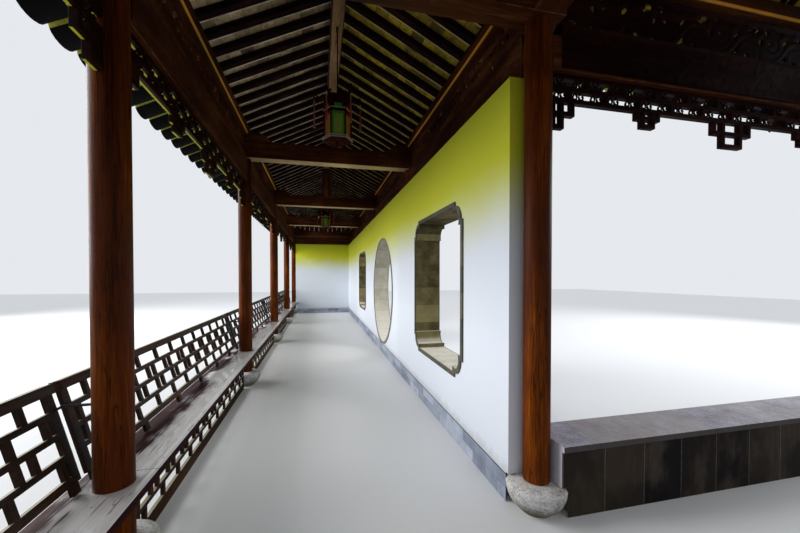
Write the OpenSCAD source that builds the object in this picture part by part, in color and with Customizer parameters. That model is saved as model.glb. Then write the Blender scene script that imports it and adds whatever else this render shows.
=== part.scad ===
// Covered garden gallery with a moon gate wall.
// The main wing runs along +Y, turns a square corner, and a short wing runs off along +X.
// The origin is at ground level under the moon gate's centre, in the wall's mid-plane.
// X = 0 is the wall's mid-plane, the pond side is -X and the courtyard side is +X.

/* [Plan] */
// Length of one bay, column centre to column centre
bay = 3400; // [3200:10:3800]
// Number of bays along the moon gate wall
main_bays = 4; // [4:1:5]
// Distance between the two lines of columns, centre to centre
span = 2500; // [2300:10:2900]
// How far the gable ends of the roof stand past the last columns
gable_out = 300; // [150:10:450]

/* [Walls] */
// Thickness of the long wall
wall_t = 320; // [240:10:400]
// Height of the top of the walls
wall_top = 2970; // [2800:10:3100]
// Thickness of the end wall
end_wall_t = 220; // [180:10:300]
// Height of the grey brick plinth
plinth_h = 190; // [150:5:260]
// How far the plinth stands proud of the wall's faces
plinth_proud = 10; // [5:1:20]

/* [Moon gate and windows] */
// Outer radius of the gate's brick lining, and of the hole in the wall
gate_r = 1090; // [950:5:1150]
// Thickness of the wall left between the gate's lining and the plinth
gate_bed = 10; // [6:1:40]
// Width of the linings' rim, seen square on
lining_w = 45; // [30:1:70]
// How far the linings stand proud of the wall's faces
lining_proud = 15; // [5:1:25]
// Width of a window, over its lining
window_w = 1640; // [1400:10:1800]
// Height of a window, over its lining
window_h = 1700; // [1500:10:1800]
// Height of the bottom of a window's lining
window_sill = 610; // [550:10:700]
// Side of the square cut out of each window corner
window_corner = 190; // [140:5:240]
// Radius of the round lobe in each window corner
window_lobe = 150; // [110:5:180]

/* [Columns] */
// Diameter of a column
col_d = 180; // [160:5:220]
// Height of a stone drum base
base_h = 200; // [160:5:260]
// Largest diameter of a drum base
base_d = 400; // [340:5:440]
// Diameter of a drum base at the ground
base_foot_d = 220; // [200:5:280]

/* [Beams] */
// Height of a lintel
lintel_h = 230; // [180:5:280]
// Thickness of a lintel
lintel_t = 110; // [80:5:140]
// Thickness of the carved board over a lintel
frieze_t = 36; // [24:2:60]
// Height of the underside of the cross beams
beam_z = 3300; // [3250:5:3400]
// Height of a cross beam at mid-span
beam_h = 240; // [200:5:280]
// Width of a cross beam
beam_w = 200; // [160:5:240]
// Extra height of a cross beam's shoulders under the purlins
shoulder_h = 120; // [80:5:140]
// How far a cross beam's head stands past the column line
beam_head = 140; // [110:5:200]
// Height of the centre line of the eaves purlins
purlin_z = 3700; // [3680:5:3760]
// Diameter of an eaves purlin
purlin_d = 170; // [140:5:190]
// Width of the ridge purlins
ridge_w = 140; // [110:5:170]
// Height of the ridge purlins
ridge_h = 150; // [120:5:180]
// Diameter of a king post at its foot
king_foot_d = 220; // [180:5:260]
// Diameter of a king post at its head
king_head_d = 170; // [140:5:200]

/* [Roof] */
// Rise of the roof over its run
roof_slope = 0.5; // [0.45:0.01:0.55]
// How far the tiles reach past the column line
eaves_out = 930; // [750:10:1000]
// How far the rafters stop short of the tiles' edge
rafter_back = 280; // [100:5:350]
// Depth of a rafter
rafter_d = 60; // [50:1:80]
// Width of a rafter
rafter_w = 95; // [60:1:120]
// Distance between rafters, centre to centre
rafter_pitch = 255; // [200:5:300]
// Thickness of the tile bed and ceiling brick together
roof_t = 105; // [80:5:140]
// Thickness of the tiles alone, where they stand out past the rafters
eaves_t = 45; // [30:1:70]
// Width of the hip and valley rafters
hip_w = 120; // [90:5:150]
// Depth of the hip and valley rafters
hip_d = 150; // [120:5:170]
// Width of the tile ridges
crest_w = 130; // [100:5:160]
// Height of the main tile ridges
crest_h = 230; // [160:5:300]
// Height of the tile ridge along the hip
hip_crest_h = 150; // [110:5:200]
// Thickness of the boards that close the gables
barge_t = 30; // [20:1:45]
// How far the gable boards hang below the rafters
barge_drop = 60; // [30:5:90]

/* [Pond side seat] */
// Height of the seat
seat_z = 500; // [440:5:520]
// Thickness of the seat board
seat_t = 50; // [35:1:60]
// How far the seat reaches in past the column centres
seat_in = 160; // [130:5:220]
// How far the seat reaches out past the column centres
seat_out = 200; // [180:5:240]
// How far outside the column centres the back rest starts
rest_foot = 125; // [120:1:140]
// How far the back rest leans out by its top
rest_lean = 150; // [100:5:200]
// Height of the back rest's top above the seat
rest_rise = 550; // [480:5:600]
// Length of the back rest's legs under its bottom rail
rest_leg = 62; // [40:1:80]
// Length of one repeat of the back rest's fret
rest_repeat = 285; // [250:5:320]
// Length of one repeat of the low fret under the seat
low_repeat = 268; // [240:4:320]
// Width of the fret bars, seen square on
bar_w = 30; // [22:1:36]
// Depth of the fret bars
bar_d = 22; // [18:1:30]
// Diameter of the iron ties between columns and back rest
tie_d = 14; // [10:1:18]

/* [Hanging fret] */
// Height of the hanging fret's band under a lintel
hang_h = 190; // [150:5:220]
// Depth of its bars, front to back
hang_d = 40; // [30:1:50]
// Length of the band's repeats, as near as fits the bay
hang_repeat = 150; // [120:5:200]
// How far the fret steps down beside a column
hang_end_drop = 180; // [120:5:220]
// How far its middle pendant hangs below the band
hang_mid_drop = 190; // [120:5:220]
// How far its quarter pendants hang below the band
hang_side_drop = 110; // [60:5:150]

/* [Parapet] */
// Height of the parapet with its coping
parapet_h = 480; // [420:5:560]
// Thickness of the parapet's wall
parapet_t = 325; // [250:5:400]
// Thickness of the coping
coping_t = 38; // [30:1:60]
// How far the coping stands past the parapet's faces
coping_out = 20; // [10:1:40]
// How far the parapet's middle lies behind the column line
parapet_shift = 20; // [0:5:100]

/* [Lanterns] */
// Width of a lantern's body across its corners
lantern_d = 300; // [240:5:340]
// Height of a lantern's glazed body
lantern_h = 450; // [380:5:500]
// Distance from the ridge purlin to the top of a lantern
lantern_drop = 760; // [650:10:850]
// Reach of a lantern's arms from its centre
arm_reach = 250; // [220:5:280]
// Length of a lantern's side tassels
tassel_len = 300; // [220:5:340]
// Diameter of a lantern's rod
rod_d = 12; // [10:1:16]

/* [Hidden] */
$fn = 64;

// Clearance between neighbouring timbers that are scribed to each other
fit = 0.3;
// Gap between two timbers that butt end to end
butt = 0.6;
// Overlap used where one cut has to break through a face
over = 1;
// Room for the board that closes the rafters' ends
eaves_board_t = 25;

col_r = col_d / 2;
base_r = base_d / 2;
purlin_r = purlin_d / 2;
row0 = -1.5 * bay;
end_row = row0 + main_bays * bay;
pond_x = -span;
wing_x = bay;
outer_y = row0 - span;
ridge_x = -span / 2;
ridge_y = row0 - span / 2;
gate_z = plinth_h + gate_bed + gate_r;
lintel_top = wall_top + lintel_h;
beam_top = beam_z + beam_h;
tilt = atan(roof_slope);
ridge_under = purlin_z + purlin_r / cos(tilt) + roof_slope * span / 2;
rafter_v = rafter_d / cos(tilt);
roof_v = roof_t / cos(tilt);
eaves_v = eaves_t / cos(tilt);
roof_base = ridge_under + rafter_v + fit;
roof_top = roof_base + roof_v;
eaves_run = span / 2 + eaves_out;
rafter_end = eaves_run - rafter_back;
rafter_first = (span / 2) % rafter_pitch;
ridge_purlin_z = ridge_under - roof_slope * ridge_w / 2 - ridge_h;
main_len = end_row + gable_out - ridge_y;
wing_len = wing_x + gable_out - ridge_x;

timber = [0.25, 0.11, 0.06];
dark_timber = [0.13, 0.07, 0.05];
pale_timber = [0.42, 0.30, 0.19];
lime = [0.93, 0.93, 0.91];
grey_brick = [0.45, 0.45, 0.43];
dark_tile = [0.25, 0.26, 0.27];
granite = [0.66, 0.63, 0.57];
iron = [0.12, 0.12, 0.12];

function row(i) = row0 + i * bay;

function pond_rows() = concat([outer_y], [for (i = [0:main_bays]) row(i)]);

function footed_columns() = concat(
    [for (y = pond_rows()) [pond_x, y]],
    [[0, row0], [0, outer_y], [wing_x, outer_y], [wing_x, row0]]
);

function wall_posts() = [for (i = [1:main_bays]) [0, row(i)]];

// Columns and posts as cutting tools, grown by a clearance
module column_cuts(low, high) {
    for (p = concat(footed_columns(), wall_posts()))
        translate([p[0], p[1], low]) cylinder(r = col_r + fit, h = high - low);
}

module base_cuts() {
    for (p = footed_columns())
        translate([p[0], p[1], -over]) cylinder(r = base_r + fit, h = base_h + over + fit);
}

module bar_between(a, b, width, low, high) {
    along_x = abs(b[0] - a[0]) > abs(b[1] - a[1]);
    dx = along_x ? 0 : width / 2;
    dy = along_x ? width / 2 : 0;
    size = [abs(b[0] - a[0]) + 2 * dx, abs(b[1] - a[1]) + 2 * dy, high - low];
    translate([min(a[0], b[0]) - dx, min(a[1], b[1]) - dy, low]) cube(size);
}

// Walls

module wall_plinths() {
    thick = wall_t + 2 * plinth_proud;
    end_thick = end_wall_t + 2 * plinth_proud;
    color(grey_brick) difference() {
        union() {
            bar_between([0, row0 + col_r], [0, end_row + end_thick / 2], thick, 0, plinth_h);
            bar_between([pond_x + col_r, end_row], [-thick / 2 - butt, end_row],
                end_thick, 0, plinth_h);
        }
        base_cuts();
    }
}

module wall_panel(from, to) {
    difference() {
        bar_between([0, from], [0, to], wall_t, plinth_h, wall_top);
        children();
        base_cuts();
    }
}

// Outline of a window with a small step and a round lobe in each corner, grown by a rim
module window_outline(grow) {
    core_w = window_w / 2 - window_corner;
    core_h = window_h / 2 - window_corner;
    square([window_w + 2 * grow, 2 * core_h + 2 * grow], center = true);
    square([2 * core_w + 2 * grow, window_h + 2 * grow], center = true);
    for (sx = [-1, 1], sz = [-1, 1])
        translate([sx * core_w, sz * core_h]) circle(r = window_lobe + grow);
}

// Carries a shape drawn in the wall's plane to a wall opening centred at (y, z)
module through_wall(y, z, thick) {
    translate([-thick / 2, y, z]) rotate([90, 0, 90]) linear_extrude(thick) children();
}

module window_cut(y) {
    through_wall(y, window_sill + window_h / 2, wall_t + 2 * over) window_outline(0);
}

module wall_near() {
    color(lime) wall_panel(row0 + col_r, row(1)) window_cut((row(0) + row(1)) / 2);
}

module wall_gate() {
    color(lime) wall_panel(row(1), row(2))
        translate([0, 0, gate_z]) rotate([0, 90, 0])
            cylinder(r = gate_r, h = wall_t + 2 * over, center = true, $fn = 128);
}

module wall_far() {
    color(lime) wall_panel(row(2), row(3)) window_cut((row(2) + row(3)) / 2);
}

module wall_plain() {
    color(lime) wall_panel(row(3), end_row + end_wall_t / 2);
}

module end_wall() {
    color(lime) difference() {
        bar_between([pond_x + col_r, end_row], [-wall_t / 2, end_row], end_wall_t, plinth_h, wall_top);
        column_cuts(0, wall_top + over);
        base_cuts();
    }
}

module moon_gate_lining() {
    thick = wall_t + 2 * lining_proud;
    color(grey_brick) translate([0, 0, gate_z]) rotate([0, 90, 0]) difference() {
        cylinder(r = gate_r, h = thick, center = true, $fn = 128);
        cylinder(r = gate_r - lining_w, h = thick + 2 * over, center = true, $fn = 128);
    }
}

module window_linings() {
    thick = wall_t + 2 * lining_proud;
    color(grey_brick) for (i = [0, 2])
        difference() {
            through_wall((row(i) + row(i + 1)) / 2, window_sill + window_h / 2, thick)
                window_outline(0);
            through_wall((row(i) + row(i + 1)) / 2, window_sill + window_h / 2, thick + 2 * over)
                window_outline(-lining_w);
        }
}

// Columns and beams

module columns() {
    color(timber) {
        for (p = footed_columns()) {
            corner = p[0] == pond_x && p[1] == outer_y;
            top = corner ? purlin_z - purlin_r : beam_z;
            translate([p[0], p[1], base_h]) cylinder(r = col_r, h = top - base_h);
        }
        for (p = wall_posts())
            translate([p[0], p[1], wall_top]) cylinder(r = col_r, h = beam_z - wall_top);
    }
}

module column_bases() {
    foot = base_foot_d / 2;
    swell = base_r - foot;
    color(granite) for (p = footed_columns())
        translate([p[0], p[1], 0]) rotate_extrude()
            polygon(concat(
                [[0, 0], [foot, 0]],
                [for (a = [15:15:90]) [foot + swell * sin(a), base_h * (0.06 + 0.76 * pow(a / 90, 1.4))]],
                [[base_r - 0.1 * swell, 0.9 * base_h], [base_r - 0.45 * swell, 0.97 * base_h]],
                [[col_r + 12, base_h], [0, base_h]]
            ));
}

// Side view of a cross beam: a straight underside and raised shoulders under the purlins
module cross_beam(length, head_a, head_b) {
    rise = shoulder_h;
    shoulder = 0.16 * length;
    slope_run = 1.2 * rise;
    translate([0, beam_w / 2, 0]) rotate([90, 0, 0]) linear_extrude(beam_w) polygon([
        [-head_a, beam_z],
        [length + head_b, beam_z],
        [length + head_b, beam_top + (head_b > 0 ? rise : 0)],
        [length - (head_b > 0 ? shoulder - slope_run : 0), beam_top + (head_b > 0 ? rise : 0)],
        [length - (head_b > 0 ? shoulder : 0), beam_top],
        [shoulder, beam_top],
        [shoulder - slope_run, beam_top + rise],
        [-head_a, beam_top + rise]
    ]);
}

module purlin_rods(grow) {
    r = purlin_r + grow;
    translate([pond_x, outer_y - 1.4 * purlin_r, purlin_z]) rotate([-90, 0, 0])
        cylinder(r = r, h = end_row + gable_out - barge_t - butt - outer_y + 1.4 * purlin_r);
    translate([0, row0 - purlin_r, purlin_z]) rotate([-90, 0, 0])
        cylinder(r = r, h = end_row + gable_out - barge_t - butt - row0 + purlin_r);
    translate([pond_x + purlin_r + butt, outer_y, purlin_z]) rotate([0, 90, 0])
        cylinder(r = r, h = wing_x + gable_out - barge_t - pond_x - purlin_r - 2 * butt);
    translate([purlin_r + butt, row0, purlin_z]) rotate([0, 90, 0])
        cylinder(r = r, h = wing_x + gable_out - barge_t - purlin_r - 2 * butt);
}

module eaves_purlins() {
    color(timber) purlin_rods(0);
}

module cross_beams() {
    color(timber) difference() {
        union() {
            for (i = [0:main_bays])
                translate([pond_x, row(i), 0]) cross_beam(span, beam_head, beam_head);
            translate([0, outer_y, 0]) rotate([0, 0, 90])
                cross_beam(span - beam_w / 2 - butt, beam_head, 0);
            translate([wing_x, outer_y, 0]) rotate([0, 0, 90])
                cross_beam(span, beam_head, beam_head);
        }
        purlin_rods(fit);
    }
}

function king_places() = concat(
    [for (i = [0:main_bays]) [ridge_x, row(i)]],
    [[0, ridge_y], [wing_x, ridge_y]]
);

module king_posts() {
    color(timber) for (p = king_places())
        translate([p[0], p[1], beam_top])
            cylinder(d1 = king_foot_d, d2 = king_head_d, h = ridge_purlin_z - fit - beam_top);
}

module ridge_purlins() {
    high = ridge_purlin_z + ridge_h;
    stop = gable_out - barge_t - butt;
    color(pale_timber) {
        bar_between([ridge_x, ridge_y + ridge_w / 2 + butt], [ridge_x, end_row + stop],
            ridge_w, ridge_purlin_z, high);
        bar_between([ridge_x - ridge_w / 2, ridge_y], [wing_x + stop, ridge_y],
            ridge_w, ridge_purlin_z, high);
    }
}

// A rafter under a hip or valley, drawn from the ridge corner along the diagonal
module diagonal_rafter(from, to, top_drop) {
    fall = roof_slope / sqrt(2);
    high = roof_base - top_drop;
    deep = hip_d / cos(atan(fall));
    rotate([0, 0, 45]) translate([0, hip_w / 2, 0]) rotate([90, 0, 0]) linear_extrude(hip_w) polygon([
        [from, high - fall * from],
        [to, high - fall * to],
        [to, high - fall * to - deep],
        [from, high - fall * from - deep]
    ]);
}

module hip_and_valley() {
    hip_start = ridge_w / sqrt(2) + butt;
    valley_start = ridge_w / sqrt(2) + hip_w / 2 + butt;
    hip_drop = hip_w / 2 * roof_slope / sqrt(2) + fit;
    color(timber) difference() {
        translate([ridge_x, ridge_y, 0]) {
            rotate([0, 0, 180]) diagonal_rafter(hip_start, rafter_end * sqrt(2) - hip_w / 2, hip_drop);
            diagonal_rafter(valley_start, rafter_end * sqrt(2), fit);
        }
        translate([-beam_head - over, row0 - beam_w / 2 - fit, beam_z])
            cube([2 * beam_head + over + fit, beam_w + 2 * fit, beam_h + shoulder_h + fit]);
        purlin_rods(fit);
    }
}

function lintel_lines() = [
    [[pond_x, outer_y], [pond_x, end_row]],
    [[0, row0], [0, end_row]],
    [[0, row0], [wing_x, row0]],
    [[pond_x, outer_y], [wing_x, outer_y]],
    [[wing_x, outer_y], [wing_x, row0]]
];

module lintels() {
    color(timber) difference() {
        union() {
            for (l = lintel_lines())
                bar_between(l[0], l[1], lintel_t, wall_top, lintel_top);
            bar_between([pond_x, end_row], [0, end_row], lintel_t, wall_top, beam_z);
        }
        column_cuts(wall_top - over, beam_z + over);
    }
}

function frieze_stretches() = concat(
    [for (i = [0:main_bays]) [[pond_x, pond_rows()[i]], [pond_x, pond_rows()[i + 1]]]],
    [for (i = [0:main_bays - 1]) [[0, row(i)], [0, row(i + 1)]]],
    [[[0, row0], [wing_x, row0]], [[pond_x, outer_y], [0, outer_y]], [[0, outer_y], [wing_x, outer_y]]]
);

module frieze_boards() {
    stop = beam_w / 2 + fit;
    color(dark_timber) for (s = frieze_stretches()) {
        along_x = s[0][1] == s[1][1];
        gap = along_x ? [stop + (s[0][0] == 0 ? beam_head - beam_w / 2 : 0), 0] : [0, stop];
        thin = along_x ? [0, frieze_t / 2] : [frieze_t / 2, 0];
        low = s[0] + gap - thin;
        high = s[1] - (along_x ? [stop, 0] : [0, stop]) + thin;
        translate([low[0], low[1], lintel_top])
            cube([high[0] - low[0], high[1] - low[1], purlin_z - purlin_r - lintel_top]);
    }
}

// Roof: each slope is drawn with x running down the slope in plan and y along the ridge,
// both measured from the point where the two ridges meet

module slope_frame(turn, flip) {
    translate([ridge_x, ridge_y, 0]) rotate([0, 0, turn]) mirror([0, flip ? 1 : 0, 0]) children();
}

module slope_profile(from, to, base, thick) {
    polygon([
        [from, base - roof_slope * from],
        [to, base - roof_slope * to],
        [to, base - roof_slope * to + thick],
        [from, base - roof_slope * from + thick]
    ]);
}

module slope_bar(y, width, from, to, base, thick) {
    translate([0, y + width / 2, 0]) rotate([90, 0, 0]) linear_extrude(width)
        slope_profile(from, to, base, thick);
}

// Number of whole pitches along a slope; the rafters are set out from the column line
function rafter_count(length) =
    floor((length - barge_t - butt - rafter_w / 2 - rafter_first) / rafter_pitch);

module hip_rafters(length) {
    clear = rafter_w / 2 + hip_w / sqrt(2) + butt;
    for (k = [-ceil(rafter_end / rafter_pitch):rafter_count(length)]) {
        y = rafter_first + k * rafter_pitch;
        from = max(butt / 2, clear - y);
        if (from < rafter_end - rafter_pitch / 2)
            slope_bar(y, rafter_w, from, rafter_end, ridge_under, rafter_v);
    }
}

module valley_rafters(length) {
    clear = rafter_w / 2 + hip_w / sqrt(2) + butt;
    for (k = [0:rafter_count(length)]) {
        y = rafter_first + k * rafter_pitch;
        to = min(rafter_end, y - clear);
        if (to > rafter_pitch)
            slope_bar(y, rafter_w, butt / 2, to, ridge_under, rafter_v);
    }
}

module rafters_pond() {
    color(dark_timber) slope_frame(180, true) hip_rafters(main_len);
}

module rafters_court() {
    color(dark_timber) slope_frame(0, false) valley_rafters(main_len);
}

module rafters_wing_outer() {
    color(dark_timber) slope_frame(-90, false) hip_rafters(wing_len);
}

module rafters_wing_court() {
    color(dark_timber) slope_frame(90, true) valley_rafters(wing_len);
}

// Section of a roof slope: tile bed and ceiling brick as far as the eaves board, then the tiles alone
module slab_section() {
    bed_end = rafter_end + eaves_board_t;
    lip = roof_top - eaves_v;
    polygon([
        [0, roof_base],
        [bed_end, roof_base - roof_slope * bed_end],
        [bed_end, lip - roof_slope * bed_end],
        [eaves_run, lip - roof_slope * eaves_run],
        [eaves_run, roof_top - roof_slope * eaves_run],
        [0, roof_top]
    ]);
}

// A roof slope, trimmed to the hip or the valley
module roof_slope_slab(length, low_y) {
    stop = length - barge_t - butt;
    intersection() {
        translate([0, stop, 0]) rotate([90, 0, 0]) linear_extrude(stop - min(0, low_y) + over)
            slab_section();
        linear_extrude(roof_top + over) polygon([[0, 0], [0, stop], [eaves_run, stop], [eaves_run, low_y]]);
    }
}

module roof_pond() {
    color(dark_tile) slope_frame(180, true) roof_slope_slab(main_len, -eaves_run);
}

module roof_court() {
    color(dark_tile) slope_frame(0, false) roof_slope_slab(main_len, eaves_run);
}

module roof_wing_outer() {
    color(dark_tile) slope_frame(-90, false) roof_slope_slab(wing_len, -eaves_run);
}

module roof_wing_court() {
    color(dark_tile) slope_frame(90, true) roof_slope_slab(wing_len, eaves_run);
}

// Section of a tile ridge, cut to straddle the two slopes
module crest_section() {
    half = crest_w / 2;
    polygon([
        [-half, roof_top - roof_slope * half],
        [0, roof_top],
        [half, roof_top - roof_slope * half],
        [half, roof_top + crest_h],
        [-half, roof_top + crest_h]
    ]);
}

module roof_crests() {
    fall = roof_slope / sqrt(2);
    reach = eaves_run * sqrt(2) - crest_w / 2;
    corner = crest_w / 2 + over;
    corner_h = roof_slope * corner + over;
    color(dark_tile) translate([ridge_x, ridge_y, 0]) difference() {
        union() {
            translate([0, main_len, 0]) rotate([90, 0, 0]) linear_extrude(main_len) crest_section();
            rotate([0, 0, -90]) translate([0, wing_len, 0]) rotate([90, 0, 0])
                linear_extrude(wing_len) crest_section();
            rotate([0, 0, 225]) translate([0, crest_w / 2, 0]) rotate([90, 0, 0])
                linear_extrude(crest_w) polygon([
                    [0, roof_top],
                    [reach, roof_top - fall * reach],
                    [reach, roof_top - fall * reach + hip_crest_h],
                    [0, roof_top + hip_crest_h]
                ]);
        }
        // The inner corner where the two ridges meet stands clear over the valley
        translate([0, 0, roof_top - corner_h]) cube([corner, corner, corner_h]);
    }
}

module gable_boards() {
    base = ridge_under - barge_drop;
    thick = roof_top - base;
    color(timber) {
        for (side = [[180, true], [0, false]])
            slope_frame(side[0], side[1])
                slope_bar(main_len - barge_t / 2, barge_t, butt / 2, eaves_run, base, thick - butt);
        for (side = [[-90, false], [90, true]])
            slope_frame(side[0], side[1])
                slope_bar(wing_len - barge_t / 2, barge_t, butt / 2, eaves_run, base, thick - butt);
    }
}

// Frets

module bar(x0, z0, x1, z1) {
    translate([x0, z0]) square([x1 - x0, z1 - z0]);
}

// A fret panel: rails at the given heights and, in each row between them,
// uprights at the given shares of the repeat
module fret_panel(length, repeat, rails, phases, stile) {
    count = max(1, round((length - 2 * stile) / repeat));
    step = (length - 2 * stile) / count;
    for (r = rails) bar(0, r[0], length, r[1]);
    for (e = [0, length - stile]) bar(e, rails[0][0], e + stile, rails[len(rails) - 1][1]);
    for (k = [0:count - 1], j = [0:len(phases) - 1], p = phases[j]) {
        x = stile + (k + p) * step;
        bar(x - bar_w / 2, rails[j][1] - over, x + bar_w / 2, rails[j + 1][0] + over);
    }
}

rest_len = sqrt(rest_rise * rest_rise + rest_lean * rest_lean);
rest_angle = atan(rest_lean / rest_rise);
rest_low_rail = 42;
rest_top_rail = 50;
rest_row = (rest_len - rest_leg - rest_low_rail - rest_top_rail - 3 * bar_w) / 4;
rest_stile = 50;
rest_end = 28;
rest_rail_d = 2.6 * bar_d;
leg_start = 10;
tie_lap = 20;
tie_share = 0.78;
low_foot_rail = 95;
low_top_rail = 55;
low_stile = 40;

function rest_rails() = concat(
    [[rest_leg, rest_leg + rest_low_rail]],
    [for (k = [1:3])
        let (z = rest_leg + rest_low_rail + k * rest_row + (k - 1) * bar_w) [z, z + bar_w]],
    [[rest_len - rest_top_rail, rest_len]]
);

// The back rest between two columns, leaning out from the seat
module back_rest(from, to) {
    length = to - from - 2 * rest_end;
    count = round((length - 2 * rest_stile) / rest_repeat);
    step = (length - 2 * rest_stile) / count;
    translate([pond_x - rest_foot, from + rest_end, seat_z]) rotate([0, -rest_angle, 0])
        rotate([90, 0, 90]) {
            translate([0, 0, -bar_d / 2]) linear_extrude(bar_d) {
                fret_panel(length, rest_repeat, rest_rails(), [[0.9], [0.15, 0.45], [0.15, 0.85], [0.5]],
                    rest_stile);
                for (k = [0:2:count]) {
                    x = min(length - rest_stile, max(0, rest_stile + k * step - rest_stile / 2));
                    bar(x, leg_start, x + rest_stile, rest_leg + over);
                }
            }
            translate([0, rest_len - rest_top_rail, -rest_rail_d / 2])
                cube([length, rest_top_rail, rest_rail_d]);
        }
}

module back_rest_near() {
    color(dark_timber) {
        back_rest(outer_y, row(0));
        back_rest(row(0), row(1));
    }
}

module back_rest_middle() {
    color(dark_timber) for (i = [1, 2]) back_rest(row(i), row(i + 1));
}

module back_rest_far() {
    color(dark_timber) for (i = [3:main_bays - 1]) back_rest(row(i), row(i + 1));
}

// Iron ties: a rod from each column to a short bar behind the back rests' stiles
module back_rest_ties() {
    up = tie_share * rest_len;
    x = pond_x - rest_foot - up * sin(rest_angle) + (bar_d / 2 + tie_d / 2 + fit) / cos(rest_angle);
    z = seat_z + up * cos(rest_angle);
    reach = pond_x - col_r - fit - x;
    color(iron) for (y = pond_rows()) {
        translate([x, y, z]) rotate([90, 0, 0])
            cylinder(d = tie_d, h = 2 * (rest_end + tie_lap), center = true);
        translate([x, y, z]) rotate([0, 90, 0]) cylinder(d = tie_d, h = reach);
    }
}

module seat_board() {
    color(timber) difference() {
        bar_between([pond_x + (seat_in - seat_out) / 2, outer_y - seat_out],
            [pond_x + (seat_in - seat_out) / 2, end_row + seat_out],
            seat_in + seat_out, seat_z - seat_t, seat_z);
        column_cuts(seat_z - seat_t - over, seat_z + over);
        bar_between([pond_x + col_r, end_row], [0, end_row],
            end_wall_t + 2 * fit, seat_z - seat_t - over, seat_z + over);
    }
}

function low_rails() =
    let (top = seat_z - seat_t - fit, row_h = (top - low_foot_rail - low_top_rail - 2 * bar_w) / 3) [
        [0, low_foot_rail],
        [low_foot_rail + row_h, low_foot_rail + row_h + bar_w],
        [low_foot_rail + 2 * row_h + bar_w, low_foot_rail + 2 * row_h + 2 * bar_w],
        [top - low_top_rail, top]
    ];

// The low fret under the seat, between the stone bases
module seat_fret() {
    rows = pond_rows();
    color(dark_timber) for (i = [0:len(rows) - 2]) {
        length = rows[i + 1] - rows[i] - 2 * (base_r + fit);
        translate([pond_x - bar_d / 2, rows[i] + base_r + fit, 0]) rotate([90, 0, 90])
            linear_extrude(bar_d)
                fret_panel(length, low_repeat, low_rails(), [[0.27], [0.59, 0.94], [0.77]], low_stile);
    }
}

// Outline of a hanging fret, drawn with its top edge on the x axis and its centre at x = 0
module hanging_outline(length) {
    half = length / 2;
    count = max(2, 2 * round(length / hang_repeat / 2));
    step = length / count;
    mid = -hang_h / 2;
    bar(-half, -bar_w, half, 0);
    bar(-half, -hang_h, half, -hang_h + bar_w);
    bar(-half, mid - bar_w / 2, half, mid + bar_w / 2);
    for (k = [0:count]) {
        x = -half + k * step;
        upper = k % 2 == 0;
        bar(max(-half, x - bar_w / 2), upper ? mid : -hang_h, min(half, x + bar_w / 2), upper ? 0 : mid);
    }
    for (s = [-1, 1]) mirror([s < 0 ? 1 : 0, 0]) {
        step_down(half, hang_end_drop);
        if (length > 0.8 * bay) pendant(0.25 * length, 0.028 * length, hang_side_drop);
    }
    pendant(0, 0.055 * length, hang_mid_drop);
}

// Two nested steps at a column
module step_down(half, drop) {
    low = -hang_h - drop;
    bar(half - 3.2 * bar_w, low, half, low + bar_w);
    bar(half - bar_w, low, half, -hang_h + over);
    bar(half - 3.2 * bar_w, low, half - 2.2 * bar_w, -hang_h + over);
    bar(half - 6 * bar_w, -hang_h - drop / 2, half, -hang_h - drop / 2 + bar_w);
    bar(half - 6 * bar_w, -hang_h - drop / 2, half - 5 * bar_w, -hang_h + over);
}

// A pendant frame with an inner cross bar
module pendant(x, half_w, drop) {
    low = -hang_h - drop;
    bar(x - half_w, -hang_h - drop / 2, x + half_w, -hang_h - drop / 2 + bar_w);
    for (s = [-1, 1]) {
        bar(x + s * half_w - bar_w / 2, -hang_h - drop / 2, x + s * half_w + bar_w / 2, -hang_h + over);
        bar(x + s * half_w / 2 - bar_w / 2, low, x + s * half_w / 2 + bar_w / 2, -hang_h + over);
    }
    bar(x - half_w / 2, low, x + half_w / 2, low + bar_w);
}

module hanging_fret(a, b) {
    along_x = a[1] == b[1];
    length = max(abs(b[0] - a[0]), abs(b[1] - a[1])) - 2 * (col_r + fit);
    translate([(a[0] + b[0]) / 2, (a[1] + b[1]) / 2, wall_top - fit]) rotate([0, 0, along_x ? 0 : 90])
        translate([0, hang_d / 2, 0]) rotate([90, 0, 0]) linear_extrude(hang_d) hanging_outline(length);
}

module hanging_fret_pond() {
    rows = pond_rows();
    color(dark_timber) for (i = [0:len(rows) - 2])
        hanging_fret([pond_x, rows[i]], [pond_x, rows[i + 1]]);
}

module hanging_fret_wing() {
    color(dark_timber) {
        hanging_fret([0, row0], [wing_x, row0]);
        hanging_fret([pond_x, outer_y], [0, outer_y]);
        hanging_fret([0, outer_y], [wing_x, outer_y]);
    }
}

// Parapet

parapet_y = row0 + parapet_shift;
parapet_gap = 5;
parapet_from = col_r + parapet_gap;
parapet_to = wing_x - col_r - parapet_gap;

// A course of the parapet, cut round the wall's near end
module parapet_course(width, low, high) {
    clear = butt + plinth_proud;
    difference() {
        bar_between([parapet_from, parapet_y], [parapet_to, parapet_y], width, low, high);
        bar_between([0, row0 + col_r - butt], [0, row0 + bay],
            wall_t + 2 * clear, low - over, high + over);
        base_cuts();
    }
}

module parapet() {
    color(granite) parapet_course(parapet_t, 0, parapet_h - coping_t);
}

module parapet_coping() {
    color(granite) parapet_course(parapet_t + 2 * coping_out, parapet_h - coping_t, parapet_h);
}

// Lanterns

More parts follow.
